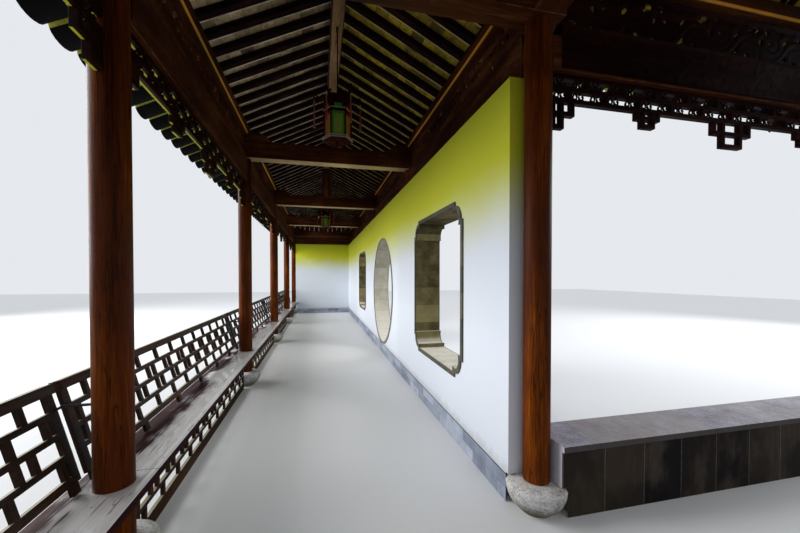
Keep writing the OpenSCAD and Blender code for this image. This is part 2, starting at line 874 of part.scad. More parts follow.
pin_d = 8;
eye_r = 11;
eye_t = 8;
eye_neck = 7;
hook_r = 12;
pivot_z = ridge_purlin_z - 40;
post_w = 12;
cap_h = 26;
sill_h = 18;
rail_h = 12;
pane_t = 4;
pane_top = 0.62 * lantern_h;
board_t = 8;
cap_out = 8;
sill_out = 4;
rail_out = 2;
board_back = 3;
hub_d = 90;
hub_h = 20;
arm_h = 18;
arm_root = 20;
arm_z = cap_h - 3;
peg_h = 50;
finial_h = 55;
finial_d = 44;
finial_tip_d = 14;
cord_in = 8;
cord_len = 60;
lantern_top = ridge_purlin_z - lantern_drop;
lantern_low = lantern_top - lantern_h;
hex_r = lantern_d / 2;
lantern_rows = [0.5, 2.5];

module at_lantern(i) {
    translate([ridge_x, row0 + lantern_rows[i] * bay, 0]) children();
}

// A staple under the ridge purlin with a pin through it
module lantern_hooks() {
    cheek = 5;
    gap = 10;
    color(iron) for (i = [0, 1]) at_lantern(i) {
        for (s = [-1, 1])
            translate([-hook_r, s * (gap / 2 + cheek / 2) - cheek / 2, pivot_z - hook_r])
                cube([2 * hook_r, cheek, ridge_purlin_z - pivot_z + hook_r]);
        translate([0, 0, pivot_z]) rotate([90, 0, 0])
            cylinder(d = pin_d, h = gap + 2 * cheek - 1, center = true);
    }
}

module hexagon(r) {
    circle(r = r, $fn = 6);
}

// Rod with an eye, hexagonal cap, rails, posts, arms and a turned finial underneath
module lantern_frame() {
    neck = pivot_z - hook_r - 8;
    color(timber) {
        difference() {
            union() {
                translate([0, 0, pivot_z]) rotate([90, 0, 0]) cylinder(r = eye_r, h = eye_t, center = true);
                translate([-eye_neck / 2, -eye_neck / 2, neck - over])
                    cube([eye_neck, eye_neck, pivot_z - neck]);
            }
            translate([0, 0, pivot_z]) rotate([90, 0, 0])
                cylinder(d = pin_d + 2 * fit, h = eye_t + 2 * over, center = true);
        }
        translate([0, 0, lantern_top + hub_h]) cylinder(d = rod_d, h = neck - lantern_top - hub_h);
        translate([0, 0, lantern_top - over]) cylinder(d = hub_d, h = hub_h + 2 * over);
        translate([0, 0, lantern_top - cap_h]) linear_extrude(cap_h) hexagon(hex_r + cap_out);
        translate([0, 0, lantern_low]) linear_extrude(sill_h) hexagon(hex_r + sill_out);
        translate([0, 0, lantern_low - finial_h])
            cylinder(d1 = finial_tip_d, d2 = finial_d, h = finial_h + over);
        translate([0, 0, lantern_low + pane_top]) linear_extrude(rail_h) difference() {
            hexagon(hex_r + rail_out);
            hexagon(hex_r - 2 * post_w);
        }
        translate([0, 0, lantern_low + pane_top + over])
            linear_extrude(lantern_h - pane_top - cap_h) difference() {
                hexagon(hex_r - board_back);
                hexagon(hex_r - board_back - board_t);
            }
        for (k = [0:5]) rotate([0, 0, 60 * k]) {
            translate([hex_r - post_w, -post_w / 2, lantern_low + over])
                cube([post_w, post_w, lantern_h - 2 * over]);
            translate([hex_r - arm_root, -post_w / 2, lantern_top - arm_z])
                cube([arm_reach - hex_r + arm_root, post_w, arm_h]);
            translate([arm_reach - post_w - 2 * over, over - post_w / 2, lantern_top - arm_z + over])
                cube([post_w, post_w - 2 * over, peg_h]);
        }
    }
}

module lantern_panes() {
    outer = hex_r - post_w - fit;
    color([0.5, 0.62, 0.35]) translate([0, 0, lantern_low + sill_h + fit])
        linear_extrude(pane_top - sill_h - 2 * fit) difference() {
            hexagon(outer);
            hexagon(outer - pane_t);
        }
}

// Tassels from the ends of the arms
module lantern_tassels() {
    top = lantern_top - arm_z - fit;
    color([0.55, 0.12, 0.10]) {
        for (k = [0:5]) rotate([0, 0, 60 * k]) translate([arm_reach - cord_in, 0, top]) {
            translate([0, 0, -cord_len]) cylinder(d = 5, h = cord_len);
            translate([0, 0, -tassel_len]) cylinder(d1 = 26, d2 = 14, h = tassel_len - cord_len);
        }
    }
}

module near_lantern_frame() {
    at_lantern(0) lantern_frame();
}

module near_lantern_panes() {
    at_lantern(0) lantern_panes();
}

module near_lantern_tassels() {
    at_lantern(0) lantern_tassels();
}

module far_lantern_frame() {
    at_lantern(1) lantern_frame();
}

module far_lantern_panes() {
    at_lantern(1) lantern_panes();
}

module far_lantern_tassels() {
    at_lantern(1) lantern_tassels();
}

wall_plinths();
wall_near();
wall_gate();
wall_far();
wall_plain();
end_wall();
moon_gate_lining();
window_linings();
columns();
column_bases();
cross_beams();
king_posts();
ridge_purlins();
eaves_purlins();
hip_and_valley();
lintels();
frieze_boards();
rafters_pond();
rafters_court();
rafters_wing_outer();
rafters_wing_court();
roof_pond();
roof_court();
roof_wing_outer();
roof_wing_court();
roof_crests();
gable_boards();
hanging_fret_pond();
hanging_fret_wing();
seat_board();
seat_fret();
back_rest_near();
back_rest_middle();
back_rest_far();
back_rest_ties();
parapet();
parapet_coping();
lantern_hooks();
near_lantern_frame();
near_lantern_panes();
near_lantern_tassels();
far_lantern_frame();
far_lantern_panes();
far_lantern_tassels();
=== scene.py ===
"""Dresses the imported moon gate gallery: tiled roofs, carved timber, frets, walls, stone and lanterns.

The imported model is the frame. Every size and place comes from its nodes or from a named value here.
"""
from __future__ import annotations

import logging
import math
from dataclasses import dataclass, replace
from enum import Enum
from typing import Any, Callable, Iterable, Sequence

import bmesh
import bpy
import numpy as np
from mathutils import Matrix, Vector

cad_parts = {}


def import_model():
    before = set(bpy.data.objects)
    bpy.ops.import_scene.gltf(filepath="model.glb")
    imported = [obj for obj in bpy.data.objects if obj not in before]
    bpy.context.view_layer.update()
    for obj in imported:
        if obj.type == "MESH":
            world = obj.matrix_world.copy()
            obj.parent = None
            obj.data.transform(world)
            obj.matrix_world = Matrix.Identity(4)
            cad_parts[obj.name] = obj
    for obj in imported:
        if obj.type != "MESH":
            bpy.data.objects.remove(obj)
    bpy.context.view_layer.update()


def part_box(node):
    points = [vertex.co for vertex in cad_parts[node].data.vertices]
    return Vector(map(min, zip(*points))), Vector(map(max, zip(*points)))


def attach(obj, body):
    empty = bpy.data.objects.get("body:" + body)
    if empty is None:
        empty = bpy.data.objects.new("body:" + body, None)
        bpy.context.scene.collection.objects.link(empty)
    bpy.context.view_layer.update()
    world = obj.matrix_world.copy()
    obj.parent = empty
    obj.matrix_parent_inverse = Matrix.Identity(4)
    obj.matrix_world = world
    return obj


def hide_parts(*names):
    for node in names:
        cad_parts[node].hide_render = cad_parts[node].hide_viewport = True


log = logging.getLogger("gallery")
Rgb = tuple[float, float, float]

SAME_PLACE = 1e-5  # points that round to the same step of this size are one, in metres
FLAT_ANGLE = 0.6  # edges of a node's triangles that bend less than this are dissolved, in degrees
ARRIS_ANGLE = 30.0  # edges that bend more than this are eased, in degrees


# Shader values


def maths(operation: str, turned: bool = False) -> Callable[..., "Value"]:
    """A method of Value that adds a Math node.

    Args:
        operation: The node's operation.
        turned: Whether the other value comes first, as in other - self.

    Returns:
        The method, which takes the other value where the operation has one.
    """

    def method(self: "Value", *other: Any) -> "Value":
        """The node's result."""
        values = (*other, self) if turned else (self, *other)
        return self.graph.node("ShaderNodeMath", {"operation": operation}, values)

    return method


class Value:
    """One output socket of a shader node, which takes part in sums.

    least and most are the smaller and the larger of two values, above is 1 where self is greater and else 0,
    and angle_to is the arc tangent of self over other in radians.
    """

    def __init__(self, graph: "Graph", socket: bpy.types.NodeSocket) -> None:
        """Keeps the socket and the graph that it belongs to."""
        self.graph = graph
        self.socket = socket

    __add__ = __radd__ = maths("ADD")
    __sub__ = maths("SUBTRACT")
    __rsub__ = maths("SUBTRACT", turned=True)
    __mul__ = __rmul__ = maths("MULTIPLY")
    __truediv__ = maths("DIVIDE")
    __abs__ = maths("ABSOLUTE")
    floor = maths("FLOOR")
    fract = maths("FRACT")
    least = maths("MINIMUM")
    most = maths("MAXIMUM")
    above = maths("GREATER_THAN")
    angle_to = maths("ARCTAN2")

    def held(self) -> "Value":
        """self, held between 0 and 1."""
        return self.least(1.0).most(0.0)

    def seam(self, share: float) -> "Value":
        """1 at whole numbers, fading to 0 within a share of one to each side."""
        return abs(self.fract() - 0.5).smooth(0.5 - share, 0.5)

    def smooth(self, low: float, high: float) -> "Value":
        """0 below low and 1 above high, with a soft step between them."""
        settings = {"interpolation_type": "SMOOTHSTEP"}
        return self.graph.node("ShaderNodeMapRange", settings, {"Value": self, "From Min": low, "From Max": high})


class Graph:
    """The node tree of one material, built by expressions."""

    def __init__(self, material: bpy.types.Material) -> None:
        """Empties the material's tree and adds its output and its shader.

        Args:
            material: The material that the tree belongs to.
        """
        material.use_nodes = True
        self.tree = material.node_tree
        self.tree.nodes.clear()
        self.output = self.tree.nodes.new("ShaderNodeOutputMaterial")
        self.point = self.node("ShaderNodeTexCoord", {}, {}, out="Object")

    def node(self, kind: str, settings: dict[str, Any], inputs: Any, out: Any = 0) -> Value:
        """Adds a node.

        Args:
            kind: The node's type.
            settings: Its own settings, set first; stops gives a ramp's places and colours.
            inputs: Values or links of its sockets, by place or by name.
            out: The place or name of the output that is used.

        Returns:
            That output.
        """
        made = self.tree.nodes.new(kind)
        for key, value in settings.items():
            if key == "stops":
                self._set_stops(made.color_ramp, value)
            else:
                setattr(made, key, value)
        pairs = inputs.items() if isinstance(inputs, dict) else enumerate(inputs)
        for key, value in pairs:
            self.feed(made.inputs[key], value)
        return Value(self, made.outputs[out])

    @staticmethod
    def _set_stops(ramp: bpy.types.ColorRamp, stops: Sequence[tuple[float, Rgb]]) -> None:
        """Gives a ramp its places and colours.

        Args:
            ramp: The ramp.
            stops: Its places and their colours.
        """
        while len(ramp.elements) < len(stops):
            ramp.elements.new(1.0)
        for element, (place, colour) in zip(ramp.elements, stops):
            element.position = place
            element.color = (*colour, 1.0)

    def feed(self, socket: bpy.types.NodeSocket, value: Any) -> None:
        """Links a value to a socket, or sets the socket to a constant.

        Args:
            socket: The socket.
            value: A value of this graph, a number or a colour.
        """
        if isinstance(value, Value):
            self.tree.links.new(value.socket, socket)
        elif socket.type == "RGBA":
            socket.default_value = (*value[:3], 1.0)
        else:
            socket.default_value = value

    def split(self, vector: Value) -> tuple[Value, Value, Value]:
        """The three parts of a vector."""
        parts = self.node("ShaderNodeSeparateXYZ", {}, [vector]).socket.node.outputs
        return Value(self, parts[0]), Value(self, parts[1]), Value(self, parts[2])

    def join(self, x: Any, y: Any, z: Any) -> Value:
        """A vector of three parts."""
        return self.node("ShaderNodeCombineXYZ", {}, [x, y, z])

    def scaled(self, vector: Value, scale: Sequence[float]) -> Value:
        """A vector with each part multiplied by its own factor."""
        return self.node("ShaderNodeVectorMath", {"operation": "MULTIPLY"}, [vector, tuple(scale)])

    def normal(self) -> tuple[Value, Value, Value]:
        """The three parts of the surface's normal."""
        return self.split(self.node("ShaderNodeNewGeometry", {}, {}, out="Normal"))

    def noise(self, scale: float, detail: float = 3.0, rough: float = 0.55, at: Value | None = None,
              stretch: Sequence[float] | None = None) -> Value:
        """Fractal noise.

        Args:
            scale: Swells in a metre.
            detail: Octaves.
            rough: How strong the finer octaves are.
            at: The place that is read, or the point on the piece.
            stretch: Factors on the point's three parts, small along the way that the noise is drawn out.

        Returns:
            Values from 0 to 1.
        """
        place = self.scaled(self.point, stretch) if stretch else at or self.point
        inputs = {"Vector": place, "Scale": scale, "Detail": detail, "Roughness": rough}
        return self.node("ShaderNodeTexNoise", {}, inputs)

    def chance(self, vector: Value) -> Value:
        """One even random number for each whole-number vector."""
        return self.node("ShaderNodeTexWhiteNoise", {}, {"Vector": vector})

    def pits(self, scale: float) -> Value:
        """Distance to the nearest of many scattered points."""
        return self.node("ShaderNodeTexVoronoi", {}, {"Vector": self.point, "Scale": scale}, out="Distance")

    def ramp(self, value: Value, stops: Sequence[tuple[float, Rgb]]) -> Value:
        """Colours along a value."""
        return self.node("ShaderNodeValToRGB", {"stops": stops}, [value])

    def mix(self, share: Any, first: Any, second: Any) -> Value:
        """The first colour, with a share of the second. The colours' sockets are 6 and 7, and 2 comes out."""
        return self.node("ShaderNodeMix", {"data_type": "RGBA"}, {0: share, 6: first, 7: second}, out=2)

    def bump(self, height: Value, strength: float, distance: float) -> Value:
        """A normal that is bent by a height."""
        inputs = {"Height": height, "Strength": strength, "Distance": distance}
        return self.node("ShaderNodeBump", {}, inputs)

    def finish(self, sockets: dict[str, Any]) -> None:
        """Adds the Principled shader with these sockets and links it to the output."""
        shader = self.node("ShaderNodeBsdfPrincipled", {}, sockets)
        self.tree.links.new(shader.socket, self.output.inputs["Surface"])


def darker(colour: Rgb, factor: float) -> Rgb:
    """A colour with each part multiplied by a factor."""
    return tuple(part * factor for part in colour)


class Grain(Enum):
    """The direction in which the fibres of a timber run."""

    X = 0
    Y = 1
    Z = 2


@dataclass(frozen=True)
class Finish:
    """A surface finish, named as a maker would name it."""

    name: str

    def paint(self, graph: Graph) -> dict[str, Any]:
        """The Principled shader's sockets."""
        raise NotImplementedError

    def build(self) -> bpy.types.Material:
        """The finish's material, made once.

        Returns:
            The material.
        """
        if self.name in bpy.data.materials:
            return bpy.data.materials[self.name]
        material = bpy.data.materials.new(self.name)
        graph = Graph(material)
        graph.finish(self.paint(graph))
        return material

    def along(self, grain: Grain) -> "Finish":
        """The finish for a solid whose length runs along a grain."""
        return self


@dataclass(frozen=True)
class Timber(Finish):
    """Oiled or weathered timber with fibres, darker checks, bleached upper sides and a band of painted light and
    highlight.
    """

    dark: Rgb
    body: Rgb
    light: Rgb
    grain: Grain = Grain.Z
    roughness: float = 0.5
    coat: float = 0.0
    stretch: float = 0.06
    checks: float = 0.6
    bleach: Rgb | None = None
    # painted_light is the colour of a band of painted light and highlight; highlight_metallic makes that band shine
    # as a painted reflection
    painted_light: Rgb | None = None
    painted_light_at: float = -1.0
    painted_light_width: float = 0.4
    painted_light_from: float | None = None
    painted_light_side: float | None = None
    highlight_metallic: float = 0.0
    specular: float = 0.06
    follows: bool = True

    def along(self, grain: Grain) -> "Timber":
        """The same timber with its fibres along a grain, if it follows the solid's length."""
        return replace(self, name=f"{self.name}_{grain.name.lower()}", grain=grain) if self.follows else self

    def facing(self, graph: Graph, middle: float, width: float) -> Value:
        """1 where the surface's upright part lies by a middle value, fading over a width to each side."""
        up = graph.normal()[2]
        return 1.0 - abs(up - middle).smooth(width * 0.3, width)

    def paint(self, graph: Graph) -> dict[str, Any]:
        """Fibres are noise stretched along the grain, and checks are its thin low valleys.

        Upper sides are bleached in patches, and the band whose normal rises by painted_light_at is painted pale as
        light and highlight; highlight_metallic makes it shine as a painted reflection.

        Args:
            graph: The material's graph.

        Returns:
            The shader's sockets.
        """
        scale = [1.0, 1.0, 1.0]
        scale[self.grain.value] = self.stretch
        along = graph.scaled(graph.point, scale)
        broad = graph.noise(9.0, 2.0, at=along)
        fibre = graph.noise(90.0, 4.0, 0.65, at=along)
        drift = graph.noise(1.3, 2.0)
        mixed = broad * 0.45 + fibre * 0.35 + drift * 0.3 - 0.05
        colour = graph.ramp(mixed, [(0.33, self.dark), (0.52, self.body), (0.7, self.light)])
        slit = 1.0 - abs(graph.noise(26.0, 2.0, 0.5, at=along) - 0.5).smooth(0.0, 0.018)
        colour = graph.mix(slit * self.checks, colour, darker(self.dark, 0.25))
        if self.bleach:
            patch = self.facing(graph, 1.0, 0.6) * (0.35 + fibre * 0.9).least(1.0)
            colour = graph.mix(patch, colour, self.bleach)
        shine: Any = 0.0
        # Painted light and highlight: a pale band on the faces whose normal rises by painted_light_at
        if self.painted_light:
            patch = self.facing(graph, self.painted_light_at, self.painted_light_width)
            patch = patch * (drift * 1.2 + fibre * 0.7 - 0.15).held()
            if self.painted_light_from is not None:
                patch = patch * graph.split(graph.point)[1].smooth(self.painted_light_from, self.painted_light_from + 3.0)
            if self.painted_light_side is not None:
                patch = patch * (1.0 - graph.split(graph.point)[0].above(self.painted_light_side))
            colour = graph.mix(patch, colour, self.painted_light)
            shine = patch * self.highlight_metallic if self.highlight_metallic else 0.0
        rough = (fibre * 0.3 + drift * 0.25 + (self.roughness - 0.26)).least(1.0)
        height = fibre * 0.6 + broad * 0.6 - slit * 0.5
        return {
            "Base Color": colour,
            "Roughness": rough,
            "Metallic": shine,
            "Specular IOR Level": self.specular,
            "Coat Weight": self.coat,
            "Coat Roughness": 0.22,
            "Normal": graph.bump(height, 0.35, 0.003),
        }


@dataclass(frozen=True)
class RafterTimber(Timber):
    """Timber of evenly spaced rafters, with a painted highlight line along one lower arris of each."""

    across: Grain = Grain.Y
    pitch: float = 0.255
    first: float = 0.0
    reach: float = 0.0475
    line: float = 0.02
    # The colour of the painted highlight line
    pale: Rgb = (0.8, 0.7, 0.6)

    def paint(self, graph: Graph) -> dict[str, Any]:
        """The painted highlight line covers the underside from the arris inwards, broken by noise.

        Args:
            graph: The material's graph.

        Returns:
            The shader's sockets.
        """
        sockets = super().paint(graph)
        place = graph.split(graph.point)[self.across.value]
        over = ((place - self.first) / self.pitch + 0.5).fract() * self.pitch - 0.5 * self.pitch
        share = over.smooth(self.reach - self.line - 0.004, self.reach - self.line)
        # Painted highlight along the far lower arris, broken by noise
        line_breaks = (graph.noise(2.2, 4.0, 0.6) * 4.0 - 1.15).held()
        share = share * (self.facing(graph, -1.0, 0.8) * 2.5).least(1.0) * line_breaks
        sockets["Base Color"] = graph.mix(share, sockets["Base Color"], self.pale)
        return sockets


@dataclass(frozen=True)
class SeatBoard(Finish):
    """A broad board worn to a gloss, with joints across it and a painted sky reflection by the walk."""

    dark: Rgb
    body: Rgb
    light: Rgb
    top: float
    front: float
    width: float
    joints: tuple[float, ...] = ()

    def paint(self, graph: Graph) -> dict[str, Any]:
        """Worn streaks run along Y, and the worn top is smoother than the edge; by the walk the streaks carry a
        painted reflection of the sky, palest there.

        Args:
            graph: The material's graph.

        Returns:
            The shader's sockets.
        """
        x, y, z = graph.split(graph.point)
        along = graph.scaled(graph.point, (1.0, 0.05, 1.0))
        fibre = graph.noise(70.0, 4.0, 0.6, at=along)
        broad = graph.noise(7.0, 3.0, at=along)
        wear_and_reflection = graph.noise(5.0, 4.0, 0.6, stretch=(1.0, 0.35, 1.0)).smooth(0.42, 0.66)
        colour = graph.ramp(broad * 0.6 + fibre * 0.4, [(0.32, self.dark), (0.52, self.body), (0.7, self.light)])
        flat = z.above(self.top - 0.004)
        patch = graph.noise(3.4, 3.0, stretch=(1.0, 0.5, 1.0))
        near = (x + (patch - 0.5) * self.width * 1.5 - self.front).smooth(-0.85 * self.width, -0.4 * self.width)
        # Lilac tint in worn patches by the walk: wear and a painted sky reflection
        colour = graph.mix(wear_and_reflection * near * flat * 0.5, colour, (0.30, 0.22, 0.25))
        # White streaks by the walk: painted reflection of the sky
        painted_reflection = (fibre * 1.3 + broad * 0.5 + near * 0.5 - 0.85).smooth(0.05, 0.38)
        colour = graph.mix(painted_reflection * near * flat * 0.95, colour, (0.96, 0.94, 0.94))
        scratch = 1.0 - abs(graph.noise(34.0, 1.0, at=along) - 0.5).smooth(0.0, 0.012)
        colour = graph.mix(scratch * 0.6, colour, darker(self.dark, 0.3))
        seam = z * 0.0
        for place in self.joints:
            seam = seam.most(1.0 - abs(y - place).smooth(0.001, 0.004))
        colour = graph.mix(seam * 0.9, colour, (0.012, 0.008, 0.006))
        rough = (0.42 - wear_and_reflection * flat * 0.16 + fibre * 0.16 + seam * 0.3).least(1.0)
        height = fibre * 0.3 + broad * 0.7 - scratch * 0.4 - seam * 2.0
        return {
            "Base Color": colour,
            "Roughness": rough,
            "Coat Weight": near * flat,
            "Coat Roughness": 0.16,
            "Coat IOR": 2.0,
            "Specular IOR Level": 0.06,
            "Normal": graph.bump(height, 0.3, 0.003),
        }


@dataclass(frozen=True)
class Plaster(Finish):
    """White lime plaster with a faint trowel swell, rain marks, grime by its foot and painted yellow-green light
    towards its top.
    """

    clean: Rgb
    painted_yellow_light: Rgb
    grime: Rgb
    foot: float
    top: float

    def paint(self, graph: Graph) -> dict[str, Any]:
        """Painted yellow-green light tints the top, except on faces turned to +X and +Y, and grime gathers in the
        lowest hand's breadth.

        Args:
            graph: The material's graph.

        Returns:
            The shader's sockets.
        """
        z = graph.split(graph.point)[2]
        cloud = graph.noise(1.1, 4.0, 0.6)
        # Painted light: yellow-green bounce light from the plants, strongest at the top
        rise = ((z - self.foot) / (self.top - self.foot) + (cloud - 0.5) * 0.12).smooth(0.54, 0.83)
        across, along, _ = graph.normal()
        rise = rise * (1.0 - across.most(along).smooth(0.3, 0.7))
        colour = graph.mix(rise, self.clean, self.painted_yellow_light)
        run = graph.noise(2.2, 4.0, 0.7, stretch=(6.0, 6.0, 0.5)).smooth(0.58, 0.8)
        colour = graph.mix(run * rise * 0.22, colour, self.grime)
        splash = 1.0 - (z + graph.noise(14.0, 3.0) * 0.12 - 0.06).smooth(self.foot, self.foot + 0.1)
        colour = graph.mix(splash * 0.4, colour, self.grime)
        speck = graph.noise(120.0, 2.0, 0.7)
        colour = graph.mix(speck.smooth(0.62, 0.75) * 0.12, colour, self.grime)
        height = cloud * 2.0 + graph.noise(22.0, 4.0, 0.6) * 0.5 + speck * 0.12
        return {"Base Color": colour, "Roughness": 0.86, "Normal": graph.bump(height, 0.25, 0.004)}


@dataclass(frozen=True)
class RubbedBrick(Finish):
    """Fine rubbed grey brick: flat courses, with joints at a plinth or between lining blocks."""

    body: Rgb
    pale: Rgb
    joint: Rgb
    block: float
    course: float = 0.0
    ring_z: float = 0.0
    ring_r: float = 0.0
    rim: Rgb | None = None
    rim_x: float = 0.0
    sill: Rgb | None = None
    gap: float = 0.0022

    def paint(self, graph: Graph) -> dict[str, Any]:
        """Each block has its own shade; a ring's blocks are cut by angle round its centre.

        Args:
            graph: The material's graph.

        Returns:
            The shader's sockets.
        """
        x, y, z = graph.split(graph.point)
        if self.ring_r:
            count = round(2 * math.pi * self.ring_r / self.block)
            place = (z - self.ring_z).angle_to(y) * (count / (2 * math.pi))
            cell = graph.join(place.floor(), 0.0, 0.0)
            joint = place.seam(self.gap / self.block)
        else:
            high = self.course or self.block
            level = z / high
            run = (y + x) / self.block + level.floor() * 0.5 if self.course else y / self.block
            cell = graph.join(run.floor(), level.floor(), 0.0)
            joint = run.seam(self.gap / self.block).most(level.seam(self.gap / high))
        shade = graph.chance(cell)
        cloud = graph.noise(6.0, 5.0, 0.65)
        colour = graph.ramp(cloud * 0.7 + shade * 0.35, [(0.3, self.body), (0.75, self.pale)])
        speck = graph.noise(160.0, 2.0, 0.7)
        colour = graph.mix(speck.smooth(0.55, 0.75) * 0.25, colour, darker(self.body, 0.45))
        # The sill colour is painted light on the faces that look up
        if self.sill:
            up = graph.normal()[2].smooth(0.25, 0.8)
            colour = graph.mix(up * (0.45 + cloud * 0.8).least(1.0), colour, self.sill)
        if self.rim:
            colour = graph.mix(abs(x).above(self.rim_x) * (0.55 + cloud * 0.4), colour, self.rim)
        colour = graph.mix(joint, colour, self.joint)
        height = cloud * 0.7 + speck * 0.25 - joint * 1.2
        return {
            "Base Color": colour,
            "Roughness": cloud * 0.2 + 0.62,
            "Specular IOR Level": 0.3,
            "Normal": graph.bump(height, 0.4, 0.003),
        }


@dataclass(frozen=True)
class DressedStone(Finish):
    """Sawn or pocked stone with mottling, stains and pits, and joints between its lengths."""

    body: Rgb
    pale: Rgb
    stain: Rgb
    pit_scale: float
    pit_depth: float
    block: float = 0.0
    first: float = 0.0
    roughness: float = 0.75
    seam: Rgb = (0.02, 0.018, 0.015)
    patch: Rgb | None = None
    foot: Rgb | None = None
    scratch: Rgb | None = None
    side: Rgb | None = None
    end: Rgb | None = None

    def paint(self, graph: Graph) -> dict[str, Any]:
        """Mottling is noise, pits are the hearts of scattered cells, and joints cross the length in X.

        Upright faces and the end by the wall can have tones of their own.

        Args:
            graph: The material's graph.

        Returns:
            The shader's sockets.
        """
        x, _, z = graph.split(graph.point)
        cloud = graph.noise(3.2, 5.0, 0.7)
        fine = graph.noise(60.0, 3.0, 0.7)
        colour = graph.ramp(cloud * 0.7 + fine * 0.35, [(0.34, self.body), (0.72, self.pale)])
        streak = graph.noise(3.0, 4.0, 0.7, stretch=(3.0, 3.0, 0.6)).smooth(0.5, 0.72)
        colour = graph.mix(streak * 0.6, colour, self.stain)
        pit = 1.0 - graph.pits(self.pit_scale).smooth(0.12, 0.42)
        pit = pit * graph.noise(20.0, 2.0).smooth(0.4, 0.6)
        colour = graph.mix(pit * 0.55, colour, darker(self.body, 0.35))
        if self.patch:
            broad = graph.noise(2.6, 3.0, 0.6, stretch=(1.0, 1.0, 0.7)).smooth(0.46, 0.62)
            run = graph.noise(3.0, 3.0, 0.6, stretch=(9.0, 9.0, 0.7)).smooth(0.45, 0.7)
            colour = graph.mix(broad * 0.75, colour, self.patch)
            colour = graph.mix(run * 0.5, colour, darker(self.body, 0.4))
        if self.foot:
            low = 1.0 - (z + cloud * 0.16 - 0.1).smooth(0.0, 0.13)
            colour = graph.mix(low * 0.7, colour, self.foot)
        if self.scratch:
            bent = graph.node("ShaderNodeMapping", {}, {"Vector": graph.point, "Rotation": (0.0, 0.0, 0.5)})
            line = graph.noise(7.0, 4.0, 0.65, at=graph.scaled(bent, (1.2, 9.0, 1.0))).smooth(0.6, 0.72)
            colour = graph.mix(line * cloud.smooth(0.4, 0.6) * 0.8, colour, self.scratch)
        height = cloud * 0.6 + fine * 0.4 - pit * self.pit_depth
        if self.block:
            run = (x - self.first) / self.block
            joint = run.seam(0.003 / self.block)
            tone = graph.chance(graph.join(run.floor(), 0.0, 0.0))
            colour = graph.mix(tone.smooth(0.2, 0.9) * 0.85, colour, self.stain)
            colour = graph.mix(joint * (fine * 2.2 - 0.5).held(), colour, self.seam)
            height = height - joint * 1.5
        normal = graph.normal()
        if self.side:
            colour = graph.mix((1.0 - abs(normal[2]).smooth(0.4, 0.8)) * 0.85, colour, self.side)
        if self.end:
            colour = graph.mix((normal[0] * -1.0).smooth(0.5, 0.9) * (0.5 + cloud * 0.7).least(1.0), colour, self.end)
        return {
            "Base Color": colour,
            "Roughness": (fine * 0.25 + self.roughness - 0.12).least(1.0),
            "Specular IOR Level": 0.25,
            "Normal": graph.bump(height, 0.55, 0.005),
        }


@dataclass(frozen=True)
class ClayTile(Finish):
    """Unglazed dark clay, each tile its own shade, with dust and lichen on what faces up and painted shade on what
    faces down.
    """

    body: Rgb
    pale: Rgb
    lichen: Rgb
    pitch: float
    course: float

    def paint(self, graph: Graph) -> dict[str, Any]:
        """The shade changes by tile cell, lichen grows in noise patches, and faces that look down are painted near
        black as shade.

        Args:
            graph: The material's graph.

        Returns:
            The shader's sockets.
        """
        x, y, z = graph.split(graph.point)
        cell = graph.join((x / self.pitch).floor(), (y / self.pitch).floor(), (z / self.course * 2.0).floor())
        shade = graph.chance(cell)
        cloud = graph.noise(2.0, 5.0, 0.65)
        colour = graph.ramp(cloud * 0.6 + shade * 0.4, [(0.25, self.body), (0.8, self.pale)])
        growth = graph.noise(9.0, 4.0, 0.7).smooth(0.56, 0.7)
        up = graph.normal()[2]
        colour = graph.mix(growth * up.smooth(0.2, 0.8) * 0.5, colour, self.lichen)
        # Painted shade on the faces that look down
        colour = graph.mix((up * -1.0).smooth(0.05, 0.4) * 0.93, colour, darker(self.body, 0.2))
        fine = graph.noise(110.0, 3.0, 0.7)
        colour = graph.mix(fine.smooth(0.55, 0.75) * 0.3, colour, darker(self.body, 0.4))
        return {
            "Base Color": colour,
            "Roughness": cloud * 0.2 + 0.68,
            "Specular IOR Level": 0.08,
            "Normal": graph.bump(fine * 0.6 + cloud * 0.8, 0.4, 0.003),
        }


@dataclass(frozen=True)
class CeilingBrick(Finish):
    """Thin bricks laid from rafter to rafter, each its own shade, with dark open joints, seen from below."""

    body: Rgb
    pale: Rgb
    joint: Rgb
    span: float
    width: float
    first: float
    down: Grain

    def paint(self, graph: Graph) -> dict[str, Any]:
        """A brick spans one rafter pitch along the ridge, and its width runs down the slope.

        Args:
            graph: The material's graph.

        Returns:
            The shader's sockets.
        """
        x, y, _ = graph.split(graph.point)
        fall, along = (x, y) if self.down is Grain.X else (y, x)
        row, column = fall / self.width, (along - self.first) / self.span
        cell = graph.join(row.floor(), column.floor(), 0.0)
        joint = row.seam(0.004 / self.width)
        cloud = graph.noise(3.0, 4.0, 0.65)
        shade = graph.chance(cell)
        colour = graph.ramp(cloud * 0.7 + shade * 0.3, [(0.28, self.body), (0.72, self.pale)])
        soot = graph.noise(16.0, 5.0, 0.75).smooth(0.46, 0.66)
        colour = graph.mix(soot * 0.6, colour, self.joint)
        colour = graph.mix(shade.above(0.93) * 0.8, colour, self.joint)
        colour = graph.mix(joint * 0.75, colour, self.joint)
        fine = graph.noise(80.0, 3.0, 0.7)
        return {"Base Color": colour, "Roughness": 0.85, "Normal": graph.bump(fine * 0.4 - joint, 0.5, 0.004)}


@dataclass(frozen=True)
class TwoTone(Finish):
    """A finish of two tones."""

    body: Rgb
    second: Rgb


